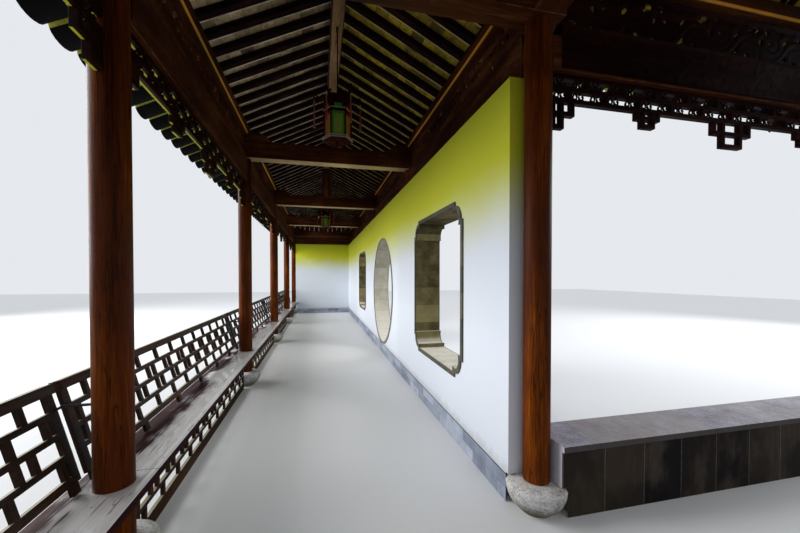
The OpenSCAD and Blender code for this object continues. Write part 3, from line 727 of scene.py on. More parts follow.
@dataclass(frozen=True)
class Mortar(TwoTone):
    """Lime mortar bedded between tiles."""

    def paint(self, graph: Graph) -> dict[str, Any]:
        """Stains gather in noise patches over a rough, trowelled skin.

        Args:
            graph: The material's graph.

        Returns:
            The shader's sockets.
        """
        cloud = graph.noise(26.0, 4.0, 0.7)
        return {
            "Base Color": graph.mix(cloud.smooth(0.4, 0.7), self.body, self.second),
            "Roughness": 0.9,
            "Normal": graph.bump(cloud, 0.5, 0.003),
        }


@dataclass(frozen=True)
class Iron(TwoTone):
    """Black wrought iron, hammered and touched with rust."""

    def paint(self, graph: Graph) -> dict[str, Any]:
        """Rust shows in noise patches, where the metal is rougher.

        Args:
            graph: The material's graph.

        Returns:
            The shader's sockets.
        """
        patch = graph.noise(35.0, 4.0, 0.7).smooth(0.52, 0.7)
        dents = graph.pits(90.0)
        return {
            "Base Color": graph.mix(patch, self.body, self.second),
            "Metallic": 0.85 - patch * 0.6,
            "Roughness": patch * 0.3 + 0.45,
            "Normal": graph.bump(dents + patch * 0.3, 0.3, 0.001),
        }


@dataclass(frozen=True)
class PaintedGlass(Finish):
    """A lantern's glass panes, painted in plain tones: by turns red and green, with an ochre field in each."""

    red: Rgb
    green: Rgb
    field: Rgb
    centre_x: float
    centre_y: float
    low: float
    high: float

    def paint(self, graph: Graph) -> dict[str, Any]:
        """Each sixth of the turn is one pane; its border keeps the pane's tone and its field fades to ochre.

        Args:
            graph: The material's graph.

        Returns:
            The shader's sockets.
        """
        x, y, z = graph.split(graph.point)
        brush = graph.noise(40.0, 3.0, stretch=(1.0, 1.0, 0.2))
        place = (y - self.centre_y).angle_to(x - self.centre_x) * (3 / math.pi)
        odd = (place.floor() * 0.5).fract().above(0.25)
        tone = graph.mix(odd, self.green, self.red)
        rise = (z - self.low) / (self.high - self.low)
        inner = (0.5 - abs(place.fract() - 0.5)).smooth(0.12, 0.2) * (0.5 - abs(rise - 0.5)).smooth(0.08, 0.16)
        colour = graph.mix(inner * (0.35 + brush * 0.6), tone, self.field)
        return {
            "Base Color": colour,
            "Roughness": brush * 0.15 + 0.08,
            "Transmission Weight": 0.25,
            "Coat Weight": 0.6,
            "Coat Roughness": 0.05,
            "Normal": graph.bump(graph.noise(18.0, 2.0), 0.12, 0.002),
        }


@dataclass(frozen=True)
class Silk(TwoTone):
    """Silk tassel threads, with fine lines along the hang."""

    def paint(self, graph: Graph) -> dict[str, Any]:
        """Threads are noise stretched down the tassel.

        Args:
            graph: The material's graph.

        Returns:
            The shader's sockets.
        """
        thread = graph.noise(420.0, 2.0, 0.6, stretch=(1.0, 1.0, 0.03))
        fade = graph.noise(14.0, 3.0)
        colour = graph.ramp(thread * 0.7 + fade * 0.35, [(0.35, darker(self.body, 0.35)), (0.52, self.body),
                                                         (0.72, self.second)])
        return {
            "Base Color": colour,
            "Roughness": 0.62,
            "Sheen Weight": 0.5,
            "Sheen Roughness": 0.4,
            "Normal": graph.bump(thread, 0.6, 0.0015),
        }


# The finishes that several pieces share, each with its dark, its body and its light tone


COLUMN = Timber("oiled_timber", (0.012, 0.0022, 0.0003), (0.105, 0.021, 0.0018), (0.34, 0.088, 0.006), specular=0.07)
BEAM = Timber("beam_timber", (0.013, 0.003, 0.0012), (0.095, 0.027, 0.009), (0.28, 0.11, 0.045))
# Bleached underneath, beyond the corner
# Painted golden light on the undersides, fading in away from the corner
TIE = Timber("tie_timber", (0.012, 0.0026, 0.001), (0.085, 0.023, 0.007), (0.26, 0.10, 0.04),
             painted_light=(0.80, 0.60, 0.30), painted_light_from=-4.9)
# A painted golden highlight along the side that faces the walk, made to shine as a painted reflection
PURLIN = Timber("purlin_timber", (0.012, 0.003, 0.001), (0.06, 0.017, 0.004), (0.16, 0.052, 0.012), roughness=0.75,
                painted_light=(1.0, 0.52, 0.08), painted_light_at=-0.66, painted_light_width=0.13, highlight_metallic=0.85)
RIDGE = Timber("pale_timber", (0.12, 0.06, 0.025), (0.38, 0.22, 0.105), (0.66, 0.45, 0.24), roughness=0.6,
               stretch=0.05, specular=0.15)
CARVED = Timber("carved_timber", (0.01, 0.002, 0.0015), (0.062, 0.0165, 0.008), (0.2, 0.08, 0.03), stretch=0.12)
# The carved timber again, painted darker as shade, for the wing's friezes, the hanging frets and their scrolls
CARVED_IN_SHADE = Timber("carved_timber_in_shade", (0.004, 0.0005, 0.0005), (0.018, 0.003, 0.0024), (0.05, 0.012, 0.008),
                 stretch=0.12)
# Its pale yellow-green light tone is painted light from the plants
EAVES = Timber("eaves_timber", (0.02, 0.014, 0.002), (0.07, 0.06, 0.008), (0.5, 0.48, 0.03), roughness=0.6,
               stretch=0.05)
# Bleached on its upper sides
FRET = Timber("fret_timber", (0.006, 0.0022, 0.001), (0.026, 0.010, 0.0045), (0.08, 0.034, 0.015), coat=0.02,
              stretch=0.1, bleach=(0.36, 0.32, 0.22), specular=0.12)
WORN = Timber("worn_arris", (0.03, 0.009, 0.003), (0.11, 0.037, 0.013), (0.27, 0.13, 0.06), stretch=0.5, checks=0.3,
              follows=False)
RIDGE_ARRIS = Mortar("ridge_arris", (0.02, 0.008, 0.005), (0.03, 0.012, 0.008))
LANTERN = Timber("lantern_timber", (0.006, 0.0015, 0.001), (0.026, 0.005, 0.003), (0.08, 0.018, 0.01),
                 roughness=0.75, stretch=0.2, specular=0.01, follows=False)
RAFTER = RafterTimber("rafters", (0.005, 0.0016, 0.0022), (0.02, 0.007, 0.007), (0.055, 0.022, 0.017), roughness=0.8,
                      stretch=0.05)


# Meshes worked out as arrays


@dataclass
class Shell:
    """A mesh as arrays: points of shape (n, 3) and faces of shape (m, 4), a triangle's last corner repeated."""

    points: np.ndarray
    faces: np.ndarray
    skins: np.ndarray | None = None

    def skin(self) -> np.ndarray:
        """The material index of each face."""
        return np.zeros(len(self.faces), int) if self.skins is None else self.skins

    def painted(self, index: int) -> "Shell":
        """The same shell with one material index on all its faces."""
        return Shell(self.points, self.faces, np.full(len(self.faces), index))

    def moved(self, offset: Sequence[float]) -> "Shell":
        """The same shell somewhere else."""
        return Shell(self.points + np.asarray(offset, float), self.faces, self.skins)

    def turned(self, angle: float) -> "Shell":
        """The same shell turned about the Z axis."""
        c, s = math.cos(angle), math.sin(angle)
        return Shell(self.points @ np.array([[c, s, 0], [-s, c, 0], [0, 0, 1]]), self.faces, self.skins)

    def flipped(self) -> "Shell":
        """The same shell with its faces turned over."""
        return Shell(self.points, self.faces[:, ::-1], self.skins)


def joined(shells: Iterable[Shell]) -> Shell:
    """Puts shells into one, side by side in the arrays.

    Args:
        shells: The shells.

    Returns:
        One shell that keeps each face's material index.
    """
    shells = list(shells)
    starts = np.cumsum([0] + [len(s.points) for s in shells[:-1]])
    return Shell(
        np.concatenate([s.points for s in shells]),
        np.concatenate([s.faces + start for s, start in zip(shells, starts)]),
        np.concatenate([s.skin() for s in shells]),
    )


def repeated(shell: Shell, offsets: np.ndarray) -> Shell:
    """Copies of one shell at many places, worked out at once.

    Args:
        shell: The shape that repeats.
        offsets: Places of shape (k, 3).

    Returns:
        One shell: the points are every offset plus every point.
    """
    count, size = len(offsets), len(shell.points)
    points = (offsets[:, None, :] + shell.points[None, :, :]).reshape(-1, 3)
    faces = (shell.faces[None] + (np.arange(count) * size)[:, None, None]).reshape(-1, 4)
    return Shell(points, faces, np.tile(shell.skin(), count))


def grid(points: np.ndarray, close_columns: bool = False) -> Shell:
    """A surface over a grid of points.

    Args:
        points: Points of shape (rows, columns, 3).
        close_columns: Whether the last column joins the first.

    Returns:
        The shell whose faces join each point to the next in both directions.
    """
    rows, columns = points.shape[:2]
    index = np.arange(rows * columns).reshape(rows, columns)
    if close_columns:
        index = np.concatenate([index, index[:, :1]], axis=1)
    faces = np.stack([index[:-1, :-1], index[:-1, 1:], index[1:, 1:], index[1:, :-1]], axis=-1)
    return Shell(points.reshape(-1, 3), faces.reshape(-1, 4))


def capped_tube(rings: np.ndarray) -> Shell:
    """A closed tube: rings of shape (rows, sides, 3), with both ends closed by fans to their centres.

    Args:
        rings: The rings, all with as many sides.

    Returns:
        The closed shell.
    """
    rows, sides = rings.shape[:2]
    wall = grid(rings, close_columns=True)
    centres = np.stack([rings[0].mean(0), rings[-1].mean(0)])
    ring = np.arange(sides)
    after = np.roll(ring, -1)
    last, middles = (rows - 1) * sides, np.full((2, sides), rows * sides) + [[0], [1]]
    low = np.stack([after, ring, middles[0], middles[0]], axis=-1)
    high = np.stack([ring + last, after + last, middles[1], middles[1]], axis=-1)
    return Shell(np.concatenate([wall.points, centres]), np.concatenate([wall.faces, low, high]))


def turns(sides: int) -> np.ndarray:
    """Even turns round a circle, in radians."""
    return np.arange(sides) * (2 * math.pi / sides)


def lathe(radii: Sequence[float], heights: Sequence[float], sides: int) -> Shell:
    """A turned shape: each ring is radius times (cos a, sin a) at its height.

    Args:
        radii: The rings' radii.
        heights: Their heights.
        sides: Sides round a ring.

    Returns:
        The closed shell, with its axis on Z.
    """
    circle = np.stack([np.cos(turns(sides)), np.sin(turns(sides))], axis=-1)
    flat = np.asarray(radii, float)[:, None, None] * circle[None]
    high = np.broadcast_to(np.asarray(heights, float)[:, None, None], (*flat.shape[:2], 1))
    return capped_tube(np.concatenate([flat, high], axis=-1))


def tube(path: np.ndarray, radius: Any, sides: int) -> Shell:
    """A round bar along a path.

    Each ring lies in the plane across the path: centre + r (cos a U + sin a V), where U and V are
    square to the path and U is as level as can be.

    Args:
        path: Places along the bar's middle, of shape (n, 3).
        radius: One radius, or one for each place.
        sides: Sides round a ring.

    Returns:
        The closed shell.
    """
    path = np.asarray(path, float)
    ahead = np.gradient(path, axis=0)
    ahead /= np.linalg.norm(ahead, axis=1, keepdims=True) + 1e-12
    up = np.where(np.abs(ahead[:, 2:3]) > 0.95, [[1.0, 0.0, 0.0]], [[0.0, 0.0, 1.0]])
    side = np.cross(ahead, up)
    side /= np.linalg.norm(side, axis=1, keepdims=True)
    over = np.cross(side, ahead)
    angle = turns(sides)[None, :, None]
    radius = np.broadcast_to(np.asarray(radius, float), (len(path),))[:, None, None]
    ring = np.cos(angle) * side[:, None] + np.sin(angle) * over[:, None]
    return capped_tube(path[:, None] + radius * ring).flipped()


def block(low: Sequence[float], high: Sequence[float]) -> Shell:
    """A box between two corners.

    Args:
        low: Its lowest corner.
        high: Its highest corner.

    Returns:
        The box, facing out.
    """
    x, y, z = (np.array([a, b]) for a, b in zip(low, high))
    points = np.array([[x[i], y[j], z[k]] for i in (0, 1) for j in (0, 1) for k in (0, 1)])
    faces = np.array([[0, 1, 3, 2], [4, 6, 7, 5], [0, 4, 5, 1], [2, 3, 7, 6], [0, 2, 6, 4], [1, 5, 7, 3]])
    return Shell(points, faces)


def leaf_plate(outline: np.ndarray, thick: float) -> Shell:
    """A plate with a star-shaped outline of shape (n, 2) in the XZ plane, thick in Y, with fanned faces.

    Args:
        outline: The outline's points.
        thick: Its thickness.

    Returns:
        The closed shell.
    """
    count = len(outline)
    front = np.stack([outline[:, 0], np.full(count, -thick / 2), outline[:, 1]], axis=-1)
    back = front + [0.0, thick, 0.0]
    return capped_tube(np.stack([front, back]))


@dataclass
class Piece:
    """A visible piece: its name, its material slot, the body that it rides on and the nodes that it stands for.

    Edges bent by more than smooth_angle degrees stay sharp.
    """

    name: str
    slot: str
    body: str = "gallery"
    replaces: Sequence[str] = ()
    smooth_angle: float = 35.0

    def link(self, mesh: bpy.types.Mesh, finishes: Sequence[Finish]) -> None:
        """Links a mesh as the piece and reports it.

        Args:
            mesh: The mesh, in the frame's metres.
            finishes: Its finishes, by material index.
        """
        for finish in finishes:
            mesh.materials.append(finish.build())
        mesh.polygons.foreach_set("use_smooth", np.ones(len(mesh.polygons), bool))
        mesh.set_sharp_from_angle(angle=math.radians(self.smooth_angle))
        made = bpy.data.objects.new(self.name, mesh)
        bpy.context.scene.collection.objects.link(made)
        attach(made, self.body)
        if self.replaces:
            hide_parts(*self.replaces)
        log.info("%s: %d faces", self.name, len(mesh.polygons))

    def shape(self, shell: Shell, *finishes: Finish) -> None:
        """Makes the piece of a shell, welded.

        Args:
            shell: Its shape in the frame's metres.
            finishes: Its finishes, by material index.
        """
        points, faces, skins = weld(shell)
        mesh = bpy.data.meshes.new(self.name)
        corners = np.where(faces[:, 3] == faces[:, 2], 3, 4)
        loops = faces[np.arange(4)[None, :] < corners[:, None]]
        mesh.vertices.add(len(points))
        mesh.vertices.foreach_set("co", points.astype(np.float32).ravel())
        mesh.loops.add(len(loops))
        mesh.loops.foreach_set("vertex_index", loops.astype(np.int32))
        mesh.polygons.add(len(faces))
        mesh.polygons.foreach_set("loop_start", (np.cumsum(corners) - corners).astype(np.int32))
        mesh.polygons.foreach_set("material_index", skins.astype(np.int32))
        mesh.update(calc_edges=True)
        mesh.validate()
        self.link(mesh, finishes)


def weld(shell: Shell) -> tuple[np.ndarray, np.ndarray, np.ndarray]:
    """Joins points that lie together and drops faces that shrink to nothing.

    Args:
        shell: The shell.

    Returns:
        Points, faces with a triangle's last corner repeated, and each face's material index.
    """
    _, first, back = np.unique(np.round(shell.points / SAME_PLACE).astype(np.int64), axis=0, return_index=True,
                               return_inverse=True)
    faces = back.reshape(-1)[shell.faces]
    order = np.argsort(first)
    rank = np.empty_like(order)
    rank[order] = np.arange(len(order))
    faces = rank[faces]
    points = shell.points[first[order]]
    same = faces == np.roll(faces, -1, axis=1)
    lost = same.sum(1)
    keep = lost <= 1
    faces, same, skins = faces[keep], same[keep], shell.skin()[keep]
    shift = np.where(same.any(1), same.argmax(1) + 1, 0)
    columns = (np.arange(4)[None] + shift[:, None]) % 4
    turned = np.take_along_axis(faces, columns, axis=1)
    tri = same.any(1)
    turned[tri, 3] = turned[tri, 2]
    return points, turned, skins


def eased_copy(node: str, finish: Finish, slot: str, width: float, body: str = "gallery", segments: int = 2,
               arris: Finish | None = None) -> None:
    """Stands for a node with the same solids, their arrises eased and the grain along each solid's length.

    Args:
        node: The node to stand for.
        finish: Its finish, turned to each solid's length.
        slot: The material slot; it is kept on the piece and not used.
        width: Width of the eased arris in metres.
        body: The body that it rides on.
        segments: Flats across the arris.
        arris: The finish of the eased arrises, where they are worn.
    """
    shape = bmesh.new()
    shape.from_mesh(bpy.data.objects[node].data)
    bmesh.ops.remove_doubles(shape, verts=shape.verts, dist=2 * SAME_PLACE)
    bmesh.ops.dissolve_limit(shape, angle_limit=math.radians(FLAT_ANGLE), verts=shape.verts, edges=shape.edges)
    waiting = set(shape.verts)
    while waiting:
        island, border = set(), [waiting.pop()]
        while border:
            vert = border.pop()
            island.add(vert)
            for edge in vert.link_edges:
                other = edge.other_vert(vert)
                if other in waiting:
                    waiting.discard(other)
                    border.append(other)
        spans = np.ptp(np.array([v.co for v in island]), axis=0)
        grain = int(np.argmax(spans))
        for vert in island:
            for face in vert.link_faces:
                face.material_index = grain
    sharp = [e for e in shape.edges if len(e.link_faces) == 2 and e.calc_face_angle(0.0) > math.radians(ARRIS_ANGLE)]
    bmesh.ops.bevel(shape, geom=sharp, offset=width, segments=segments, affect="EDGES", profile=0.5,
                    clamp_overlap=True, material=len(Grain) if arris else -1)
    bmesh.ops.recalc_face_normals(shape, faces=shape.faces)
    name = node + "_eased"
    mesh = bpy.data.meshes.new(name)
    shape.to_mesh(mesh)
    shape.free()
    finishes = [finish.along(grain) for grain in Grain] + ([arris] if arris else [])
    Piece(name, slot, body, [node], ARRIS_ANGLE).link(mesh, finishes)


def dress(node: str, finish: Finish) -> None:
    """Gives a node that keeps its own shape a finish.

    Args:
        node: The node.
        finish: Its finish.
    """
    target = bpy.data.objects[node]
    target.data.materials.clear()
    target.data.materials.append(finish.build())
    log.info("%s wears %s", node, finish.name)


# The gallery


@dataclass
class Plan:
    """The gallery's main places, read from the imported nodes."""

    bay: float
    pond_x: float
    wing_x: float
    outer_y: float
    ridge_x: float
    ridge_y: float
    column_r: float
    slope: float
    run: float
    rafter_run: float
    rafter_pitch: float
    base_z: float
    top_z: float
    lip: float
    main_stop: float
    wing_stop: float

    @classmethod
    def read(cls, column_r: float = 0.09, lip: float = 0.0503, rafter_pitch: float = 0.255) -> "Plan":
        """Works the places out from the nodes' boxes.

        Args:
            column_r: Radius of a column.
            lip: Upright thickness of the roof past the eaves boards.
            rafter_pitch: Distance between rafters.

        Returns:
            The plan.
        """
        gate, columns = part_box("wall_gate"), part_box("columns")
        pond, outer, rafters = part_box("roof_pond"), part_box("roof_wing_outer"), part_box("rafters_pond")
        run = pond[1].x - pond[0].x
        return cls(
            bay=gate[1].y - gate[0].y,
            pond_x=columns[0].x + column_r,
            wing_x=columns[1].x - column_r,
            outer_y=columns[0].y + column_r,
            ridge_x=pond[1].x,
            ridge_y=outer[1].y,
            column_r=column_r,
            slope=(pond[1].z - pond[0].z - lip) / run,
            run=run,
            rafter_run=pond[1].x - rafters[0].x,
            rafter_pitch=rafter_pitch,
            base_z=rafters[1].z,
            top_z=pond[1].z,
            lip=lip,
            main_stop=pond[1].y - outer[1].y,
            wing_stop=outer[1].x - pond[1].x,
        )

    def row(self, place: float) -> float:
        """The Y of a row of columns, counted from the one that ends the long wall."""
        return (place - 1.5) * self.bay

    def pond_bays(self) -> list[tuple[float, float]]:
        """The first and last Y of each bay along the open side, from the corner on."""
        rows = [self.outer_y] + [self.row(i) for i in range(5)]
        return list(zip(rows[:-1], rows[1:]))

    def wing_bays(self) -> list[tuple[float, float, float]]:
        """The first and last X of each bay across the corner and the short wing, and its Y."""
        return [(self.pond_x, 0.0, self.outer_y), (0.0, self.wing_x, self.outer_y), (0.0, self.wing_x, self.row(0))]


class Side(Enum):
    """A roof slope: its name, its way down, its way along the ridge, and whether a hip ends it."""

    POND = ("pond", (-1.0, 0.0), (0.0, 1.0), True)
    COURT = ("court", (1.0, 0.0), (0.0, 1.0), False)
    WING_OUTER = ("wing_outer", (0.0, -1.0), (1.0, 0.0), True)
    WING_COURT = ("wing_court", (0.0, 1.0), (1.0, 0.0), False)

    @property
    def label(self) -> str:
        """The slope's plain name."""
        return self.value[0]

    @property
    def ways(self) -> np.ndarray:
        """The level ways down the slope and along its ridge, as two rows of x and y."""
        return np.array(self.value[1:3])

    @property
    def along_y(self) -> bool:
        """Whether the slope's ridge runs along Y."""
        return self.value[2][1] > 0

    @property
    def hipped(self) -> bool:
        """Whether the slope runs on round a hip."""
        return self.value[3]


@dataclass
class TiledSlope:
    """One roof slope: pan and cover tiles in courses on top, ceiling brick and pan bottoms under, tile ends."""

    plan: Plan
    side: Side
    pitch: float = 0.32
    first: float = 0.24
    course: float = 0.15
    lift: float = 0.016
    pan_dip: float = 0.026
    cover_rise: float = 0.072
    cover_share: float = 0.5
    pan_sag: float = 0.078
    joint_share: float = 0.07
    joint_lift: float = 0.03
    board: float = 0.025
    brick_width: float = 0.125
    set_back: float = 0.018
    drip_half: float = 0.138
    drip_deep: float = 0.088
    drip_point: float = 0.014
    drip_thick: float = 0.014
    cap_half: float = 0.082
    cap_high: float = 0.076
    cap_thick: float = 0.016
    lean: float = 0.12
    clear: float = 0.002
    clay: Finish = ClayTile("clay_tile", (0.03, 0.032, 0.035), (0.12, 0.12, 0.125), (0.10, 0.105, 0.07), 0.2, 0.115)
    # The lime's yellow-green is partly its own pale tone and partly painted light from the plants
    lime: Finish = Mortar("lime_mortar", (0.72, 0.72, 0.12), (0.42, 0.42, 0.06))

    def stop(self) -> float:
        """The slope's length along the ridge, from where the ridges meet."""
        return self.plan.main_stop if self.side.along_y else self.plan.wing_stop

    def brick(self) -> CeilingBrick:
        """The ceiling brick, whose joints follow this slope's rafters; on the courtyard slopes its tones carry
        painted yellow light.

        Returns:
            The finish.
        """
        painted_yellow_light = self.side in (Side.COURT, Side.WING_COURT)
        # The courtyard slopes' yellow tones are painted light from the courtyard
        tones = ((0.20, 0.14, 0.009), (0.85, 0.63, 0.04)) if painted_yellow_light else ((0.20, 0.14, 0.08), (0.88, 0.65, 0.38))
        first, down = (self.plan.row(0), Grain.X) if self.side.along_y else (self.plan.wing_x, Grain.Y)
        return CeilingBrick(f"ceiling_brick_{self.side.label}", *tones, (0.02, 0.015, 0.012), self.plan.rafter_pitch,
                            self.brick_width, first, down)

    def to_frame(self, down: np.ndarray, along: np.ndarray, z: np.ndarray) -> np.ndarray:
        """Places in the frame of points given down the slope, along the ridge and up.

        Args:
            down: Distances down the slope, measured level.
            along: Distances along the ridge.
            z: Heights.

        Returns:
            Places, with a last axis of x, y and z.
        """
        way_down, way_along = self.side.ways
        x = self.plan.ridge_x + down * way_down[0] + along * way_along[0]
        y = self.plan.ridge_y + down * way_down[1] + along * way_along[1]
        return np.stack([x, y, np.broadcast_to(z, x.shape)], axis=-1)

    def facing(self, shell: Shell) -> Shell:
        """The shell with its faces turned over where the slope's two ways are left-handed."""
        return shell if np.linalg.det(self.side.ways) > 0 else shell.flipped()

    def lines_along(self) -> tuple[np.ndarray, np.ndarray, np.ndarray]:
        """Places along the ridge, and the tiles' height over the bed and the pans' sag under it there.

        A cover is an arch over the middle of the pitch, rise sqrt(1 - u^2) with u across it from -1 to 1,
        a pan dips as u^2 between two covers, and its bottom sags as sqrt(1 - u^2) between two joints.

        Returns:
            Places along the ridge, the tiles' heights and the pans' sag.
        """
        half = self.cover_share / 2
        joint = self.joint_share / 2
        foot, edge = 0.5 - half, 0.5 - joint
        parts = np.array([0.0, 0.1, foot, foot + 0.001, 0.36, 0.43, edge, edge + 0.001, 0.5])
        parts = np.concatenate([parts, 1 - parts[-2:0:-1]])
        off = np.abs(parts - 0.5)
        arch = 0.018 + self.cover_rise * np.sqrt(np.clip(1 - (0.92 * off / half) ** 2, 0, 1))
        pan = 0.004 + self.pan_dip * ((0.5 - off) / foot) ** 2
        shape = np.where(off < half * 0.9999, arch, pan)
        across = (0.5 - off) / edge
        sag = self.pan_sag * np.sqrt(np.clip(1 - across ** 2, 0, 1))
        start = -self.plan.run if self.side.hipped else 0.0
        begin = math.floor((start - self.first) / self.pitch)
        end = math.ceil((self.stop() - self.first) / self.pitch)
        along = (self.first + (np.arange(begin, end)[:, None] + parts[None]) * self.pitch).ravel()
        inside = (along > start + self.clear) & (along < self.stop() - self.clear)
        along = np.concatenate([[start], along[inside], [self.stop()]])
        height = np.concatenate([[self.pan_dip], np.tile(shape, end - begin)[inside], [self.pan_dip]])
        return along, height, np.concatenate([[0.0], np.tile(sag, end - begin)[inside], [0.0]])

    def lines_down(self) -> tuple[np.ndarray, np.ndarray]:
        """Places down the slope, and the courses' lift there: each course rises to its lower edge, then steps down.

        Returns:
            Places down the slope and the lift at each.
        """
        count = math.ceil(self.plan.run / self.course)
        edges = self.plan.run - np.arange(count, -1, -1) * self.course
        down, lift = [], []
        for upper, lower in zip(edges[:-1], edges[1:]):
            down += [max(upper, 0.0) + 0.0005, lower]
            lift += [0.0, self.lift]
        down[0] = 0.0
        board = self.plan.rafter_run + self.board
        rows = np.sort(np.concatenate([down, [board - 0.0003, board + 0.0003]]))
        return rows, np.interp(rows, down, lift)

    def reach(self, along: np.ndarray) -> tuple[np.ndarray, np.ndarray]:
        """Where the slope starts and ends down its fall, at places along the ridge.

        Args:
            along: Places along the ridge.

        Returns:
            The first and the last place down the slope at each.
        """
        low = np.maximum(0.0, -along) if self.side.hipped else np.zeros_like(along)
        high = np.full_like(along, self.plan.run) if self.side.hipped else np.minimum(self.plan.run, along)
        return low, high

    def surface(self) -> Shell:
        """The tiles' upper surface, closed by its borders, the ceiling, the step by the board and the pan bottoms.

        Returns:
            The closed slope: faces of clay 0, ceiling brick 1 and mortar 2.
        """
        plan = self.plan
        along, tile, sag = self.lines_along()
        down, lift = self.lines_down()
        far, near = np.meshgrid(along, down)
        low, high = self.reach(far)
        place = np.clip(near, low, high)
        bed = plan.top_z - plan.slope * place
        rim = (place <= low + 1e-6) & (near > 0.0) | (place >= high - 1e-6) & (near < plan.run - 1e-6)
        rise = np.where(rim, 0.0, tile[None, :] + lift[:, None])
        rise[0] = tile * 0.6
        top = self.facing(grid(self.to_frame(place, far, bed + rise)))
        under, skins = self.underside(along, sag)
        bottom = self.facing(grid(under)).flipped()
        bottom = Shell(bottom.points, bottom.faces, skins)
        walls = self.border_walls(top.points.reshape(*place.shape, 3), under)
        return joined([top, bottom, walls])

    def underside(self, along: np.ndarray, sag: np.ndarray) -> tuple[np.ndarray, np.ndarray]:
        """The ceiling to the board, the step up past it, and the sagging pan bottoms out to the eaves.

        Args:
            along: Places along the ridge.
            sag: The pans' sag at those places.

        Returns:
            Points of shape (rows, columns, 3), and each face's material index: 0 clay, 1 brick, 2 mortar.
        """
        plan = self.plan
        low, high = self.reach(along)
        board = np.clip(plan.rafter_run + self.board, low, high)
        brick_z = plan.base_z - plan.slope * np.stack([low, board])
        outer = np.linspace(0.0, 1.0, 4)[:, None]
        down = board + (high - board) * outer
        pan_z = plan.top_z - plan.lip + self.joint_lift - plan.slope * down - sag * np.where(high > board, 1.0, 0.0)
        places = np.concatenate([[low, board], down])
        heights = np.concatenate([brick_z, pan_z])
        points = self.to_frame(places, np.broadcast_to(along, places.shape), heights)
        skins = np.zeros((len(places) - 1, len(along) - 1), int)
        skins[0] = 1
        flank = 0.4 * self.pan_sag
        skins[2:, (sag[:-1] < flank) & (sag[1:] < flank)] = 2
        return points, skins.ravel()

    def border_walls(self, top: np.ndarray, foot: np.ndarray) -> Shell:
        """Upright strips along the ridge and hip, along the eaves and valley, and at the gable.

        Args:
            top: The upper surface's points, of shape (rows, columns, 3).
            foot: The underside's points, with the same columns.

        Returns:
            The strips, facing out.
        """
        plan = self.plan
        way = np.array([*self.side.value[1], 0.0])
        fall = (top[:, -1] - [plan.ridge_x, plan.ridge_y, 0.0]) @ way
        inner = fall < plan.rafter_run + self.board
        gable = top[:, -1].copy()
        outer_z = plan.top_z - plan.lip + self.joint_lift
        gable[:, 2] = np.where(inner, plan.base_z, outer_z) - plan.slope * fall
        strips = [(foot[0], top[0]), (foot[-1][::-1], top[-1][::-1]), (gable, top[:, -1])]
        return joined(self.facing(grid(np.stack(pair))) for pair in strips)

    def eaves(self) -> Shell:
        """Cover ends and drip tiles along the eaves.

        A cover end is an arched plate under the last cover, and a drip tile is a leaf-shaped plate that
        hangs from the last pan: its edge is a half round drawn out to a soft point.

        Returns:
            All the ends and drip tiles of the slope.
        """
        plan = self.plan
        turn = np.linspace(0.0, math.pi, 17)
        point = np.exp(-((turn - math.pi / 2) / 0.22) ** 2)
        sag = self.drip_deep * np.sin(turn) ** 0.8 + self.drip_point * point
        drip_line = np.stack([-self.drip_half * np.cos(turn), -sag], axis=-1)
        drip_head = [[0.12, 0.026], [0.0, 0.012], [-0.12, 0.026]]
        drip = leaf_plate(np.concatenate([drip_line, drip_head])[::-1], self.drip_thick)
        lobes = np.linspace(0.0, math.pi, 19)
        scallop = 1 + 0.07 * np.abs(np.cos(3 * lobes))
        fan = np.stack([self.cap_half * scallop * np.cos(lobes), self.cap_high * scallop * np.sin(lobes)], axis=-1)
        cover = leaf_plate(np.concatenate([fan, [[-0.066, -0.014], [0.066, -0.014]]]), self.cap_thick)
        start = -plan.run if self.side.hipped else plan.run
        begin = math.ceil((start - self.first) / self.pitch + 0.4)
        end = math.floor((self.stop() - self.first) / self.pitch - 0.45)
        places = self.first + np.arange(begin, end + 1) * self.pitch
        edge = plan.run - self.set_back
        bed = plan.top_z - plan.slope * edge
        pieces = []
        between = places[:-1] + self.pitch / 2
        for shape, offsets, z in ((drip, places, bed - self.clear), (cover, between, bed + 0.034)):
            lean = np.array(shape.points)
            lean[:, 1] += self.lean * lean[:, 2]
            flat = np.zeros_like(offsets)
            local = repeated(Shell(lean, shape.faces), np.stack([offsets, flat, flat], axis=-1))
            down = np.minimum(edge - local.points[:, 1], plan.run - self.clear)
            points = self.to_frame(down, local.points[:, 0], z + local.points[:, 2])
            pieces.append(self.facing(Shell(points, local.faces)))
        return joined(pieces)

    def build(self) -> None:
        """Makes the slope's two pieces."""
        node = f"roof_{self.side.label}"
        slope = Piece(f"tiles_{self.side.label}", "tile", replaces=[node], smooth_angle=50.0)
        slope.shape(self.surface(), self.clay, self.brick(), self.lime)
        Piece(f"eaves_tiles_{self.side.label}", "tile").shape(self.eaves(), self.clay)


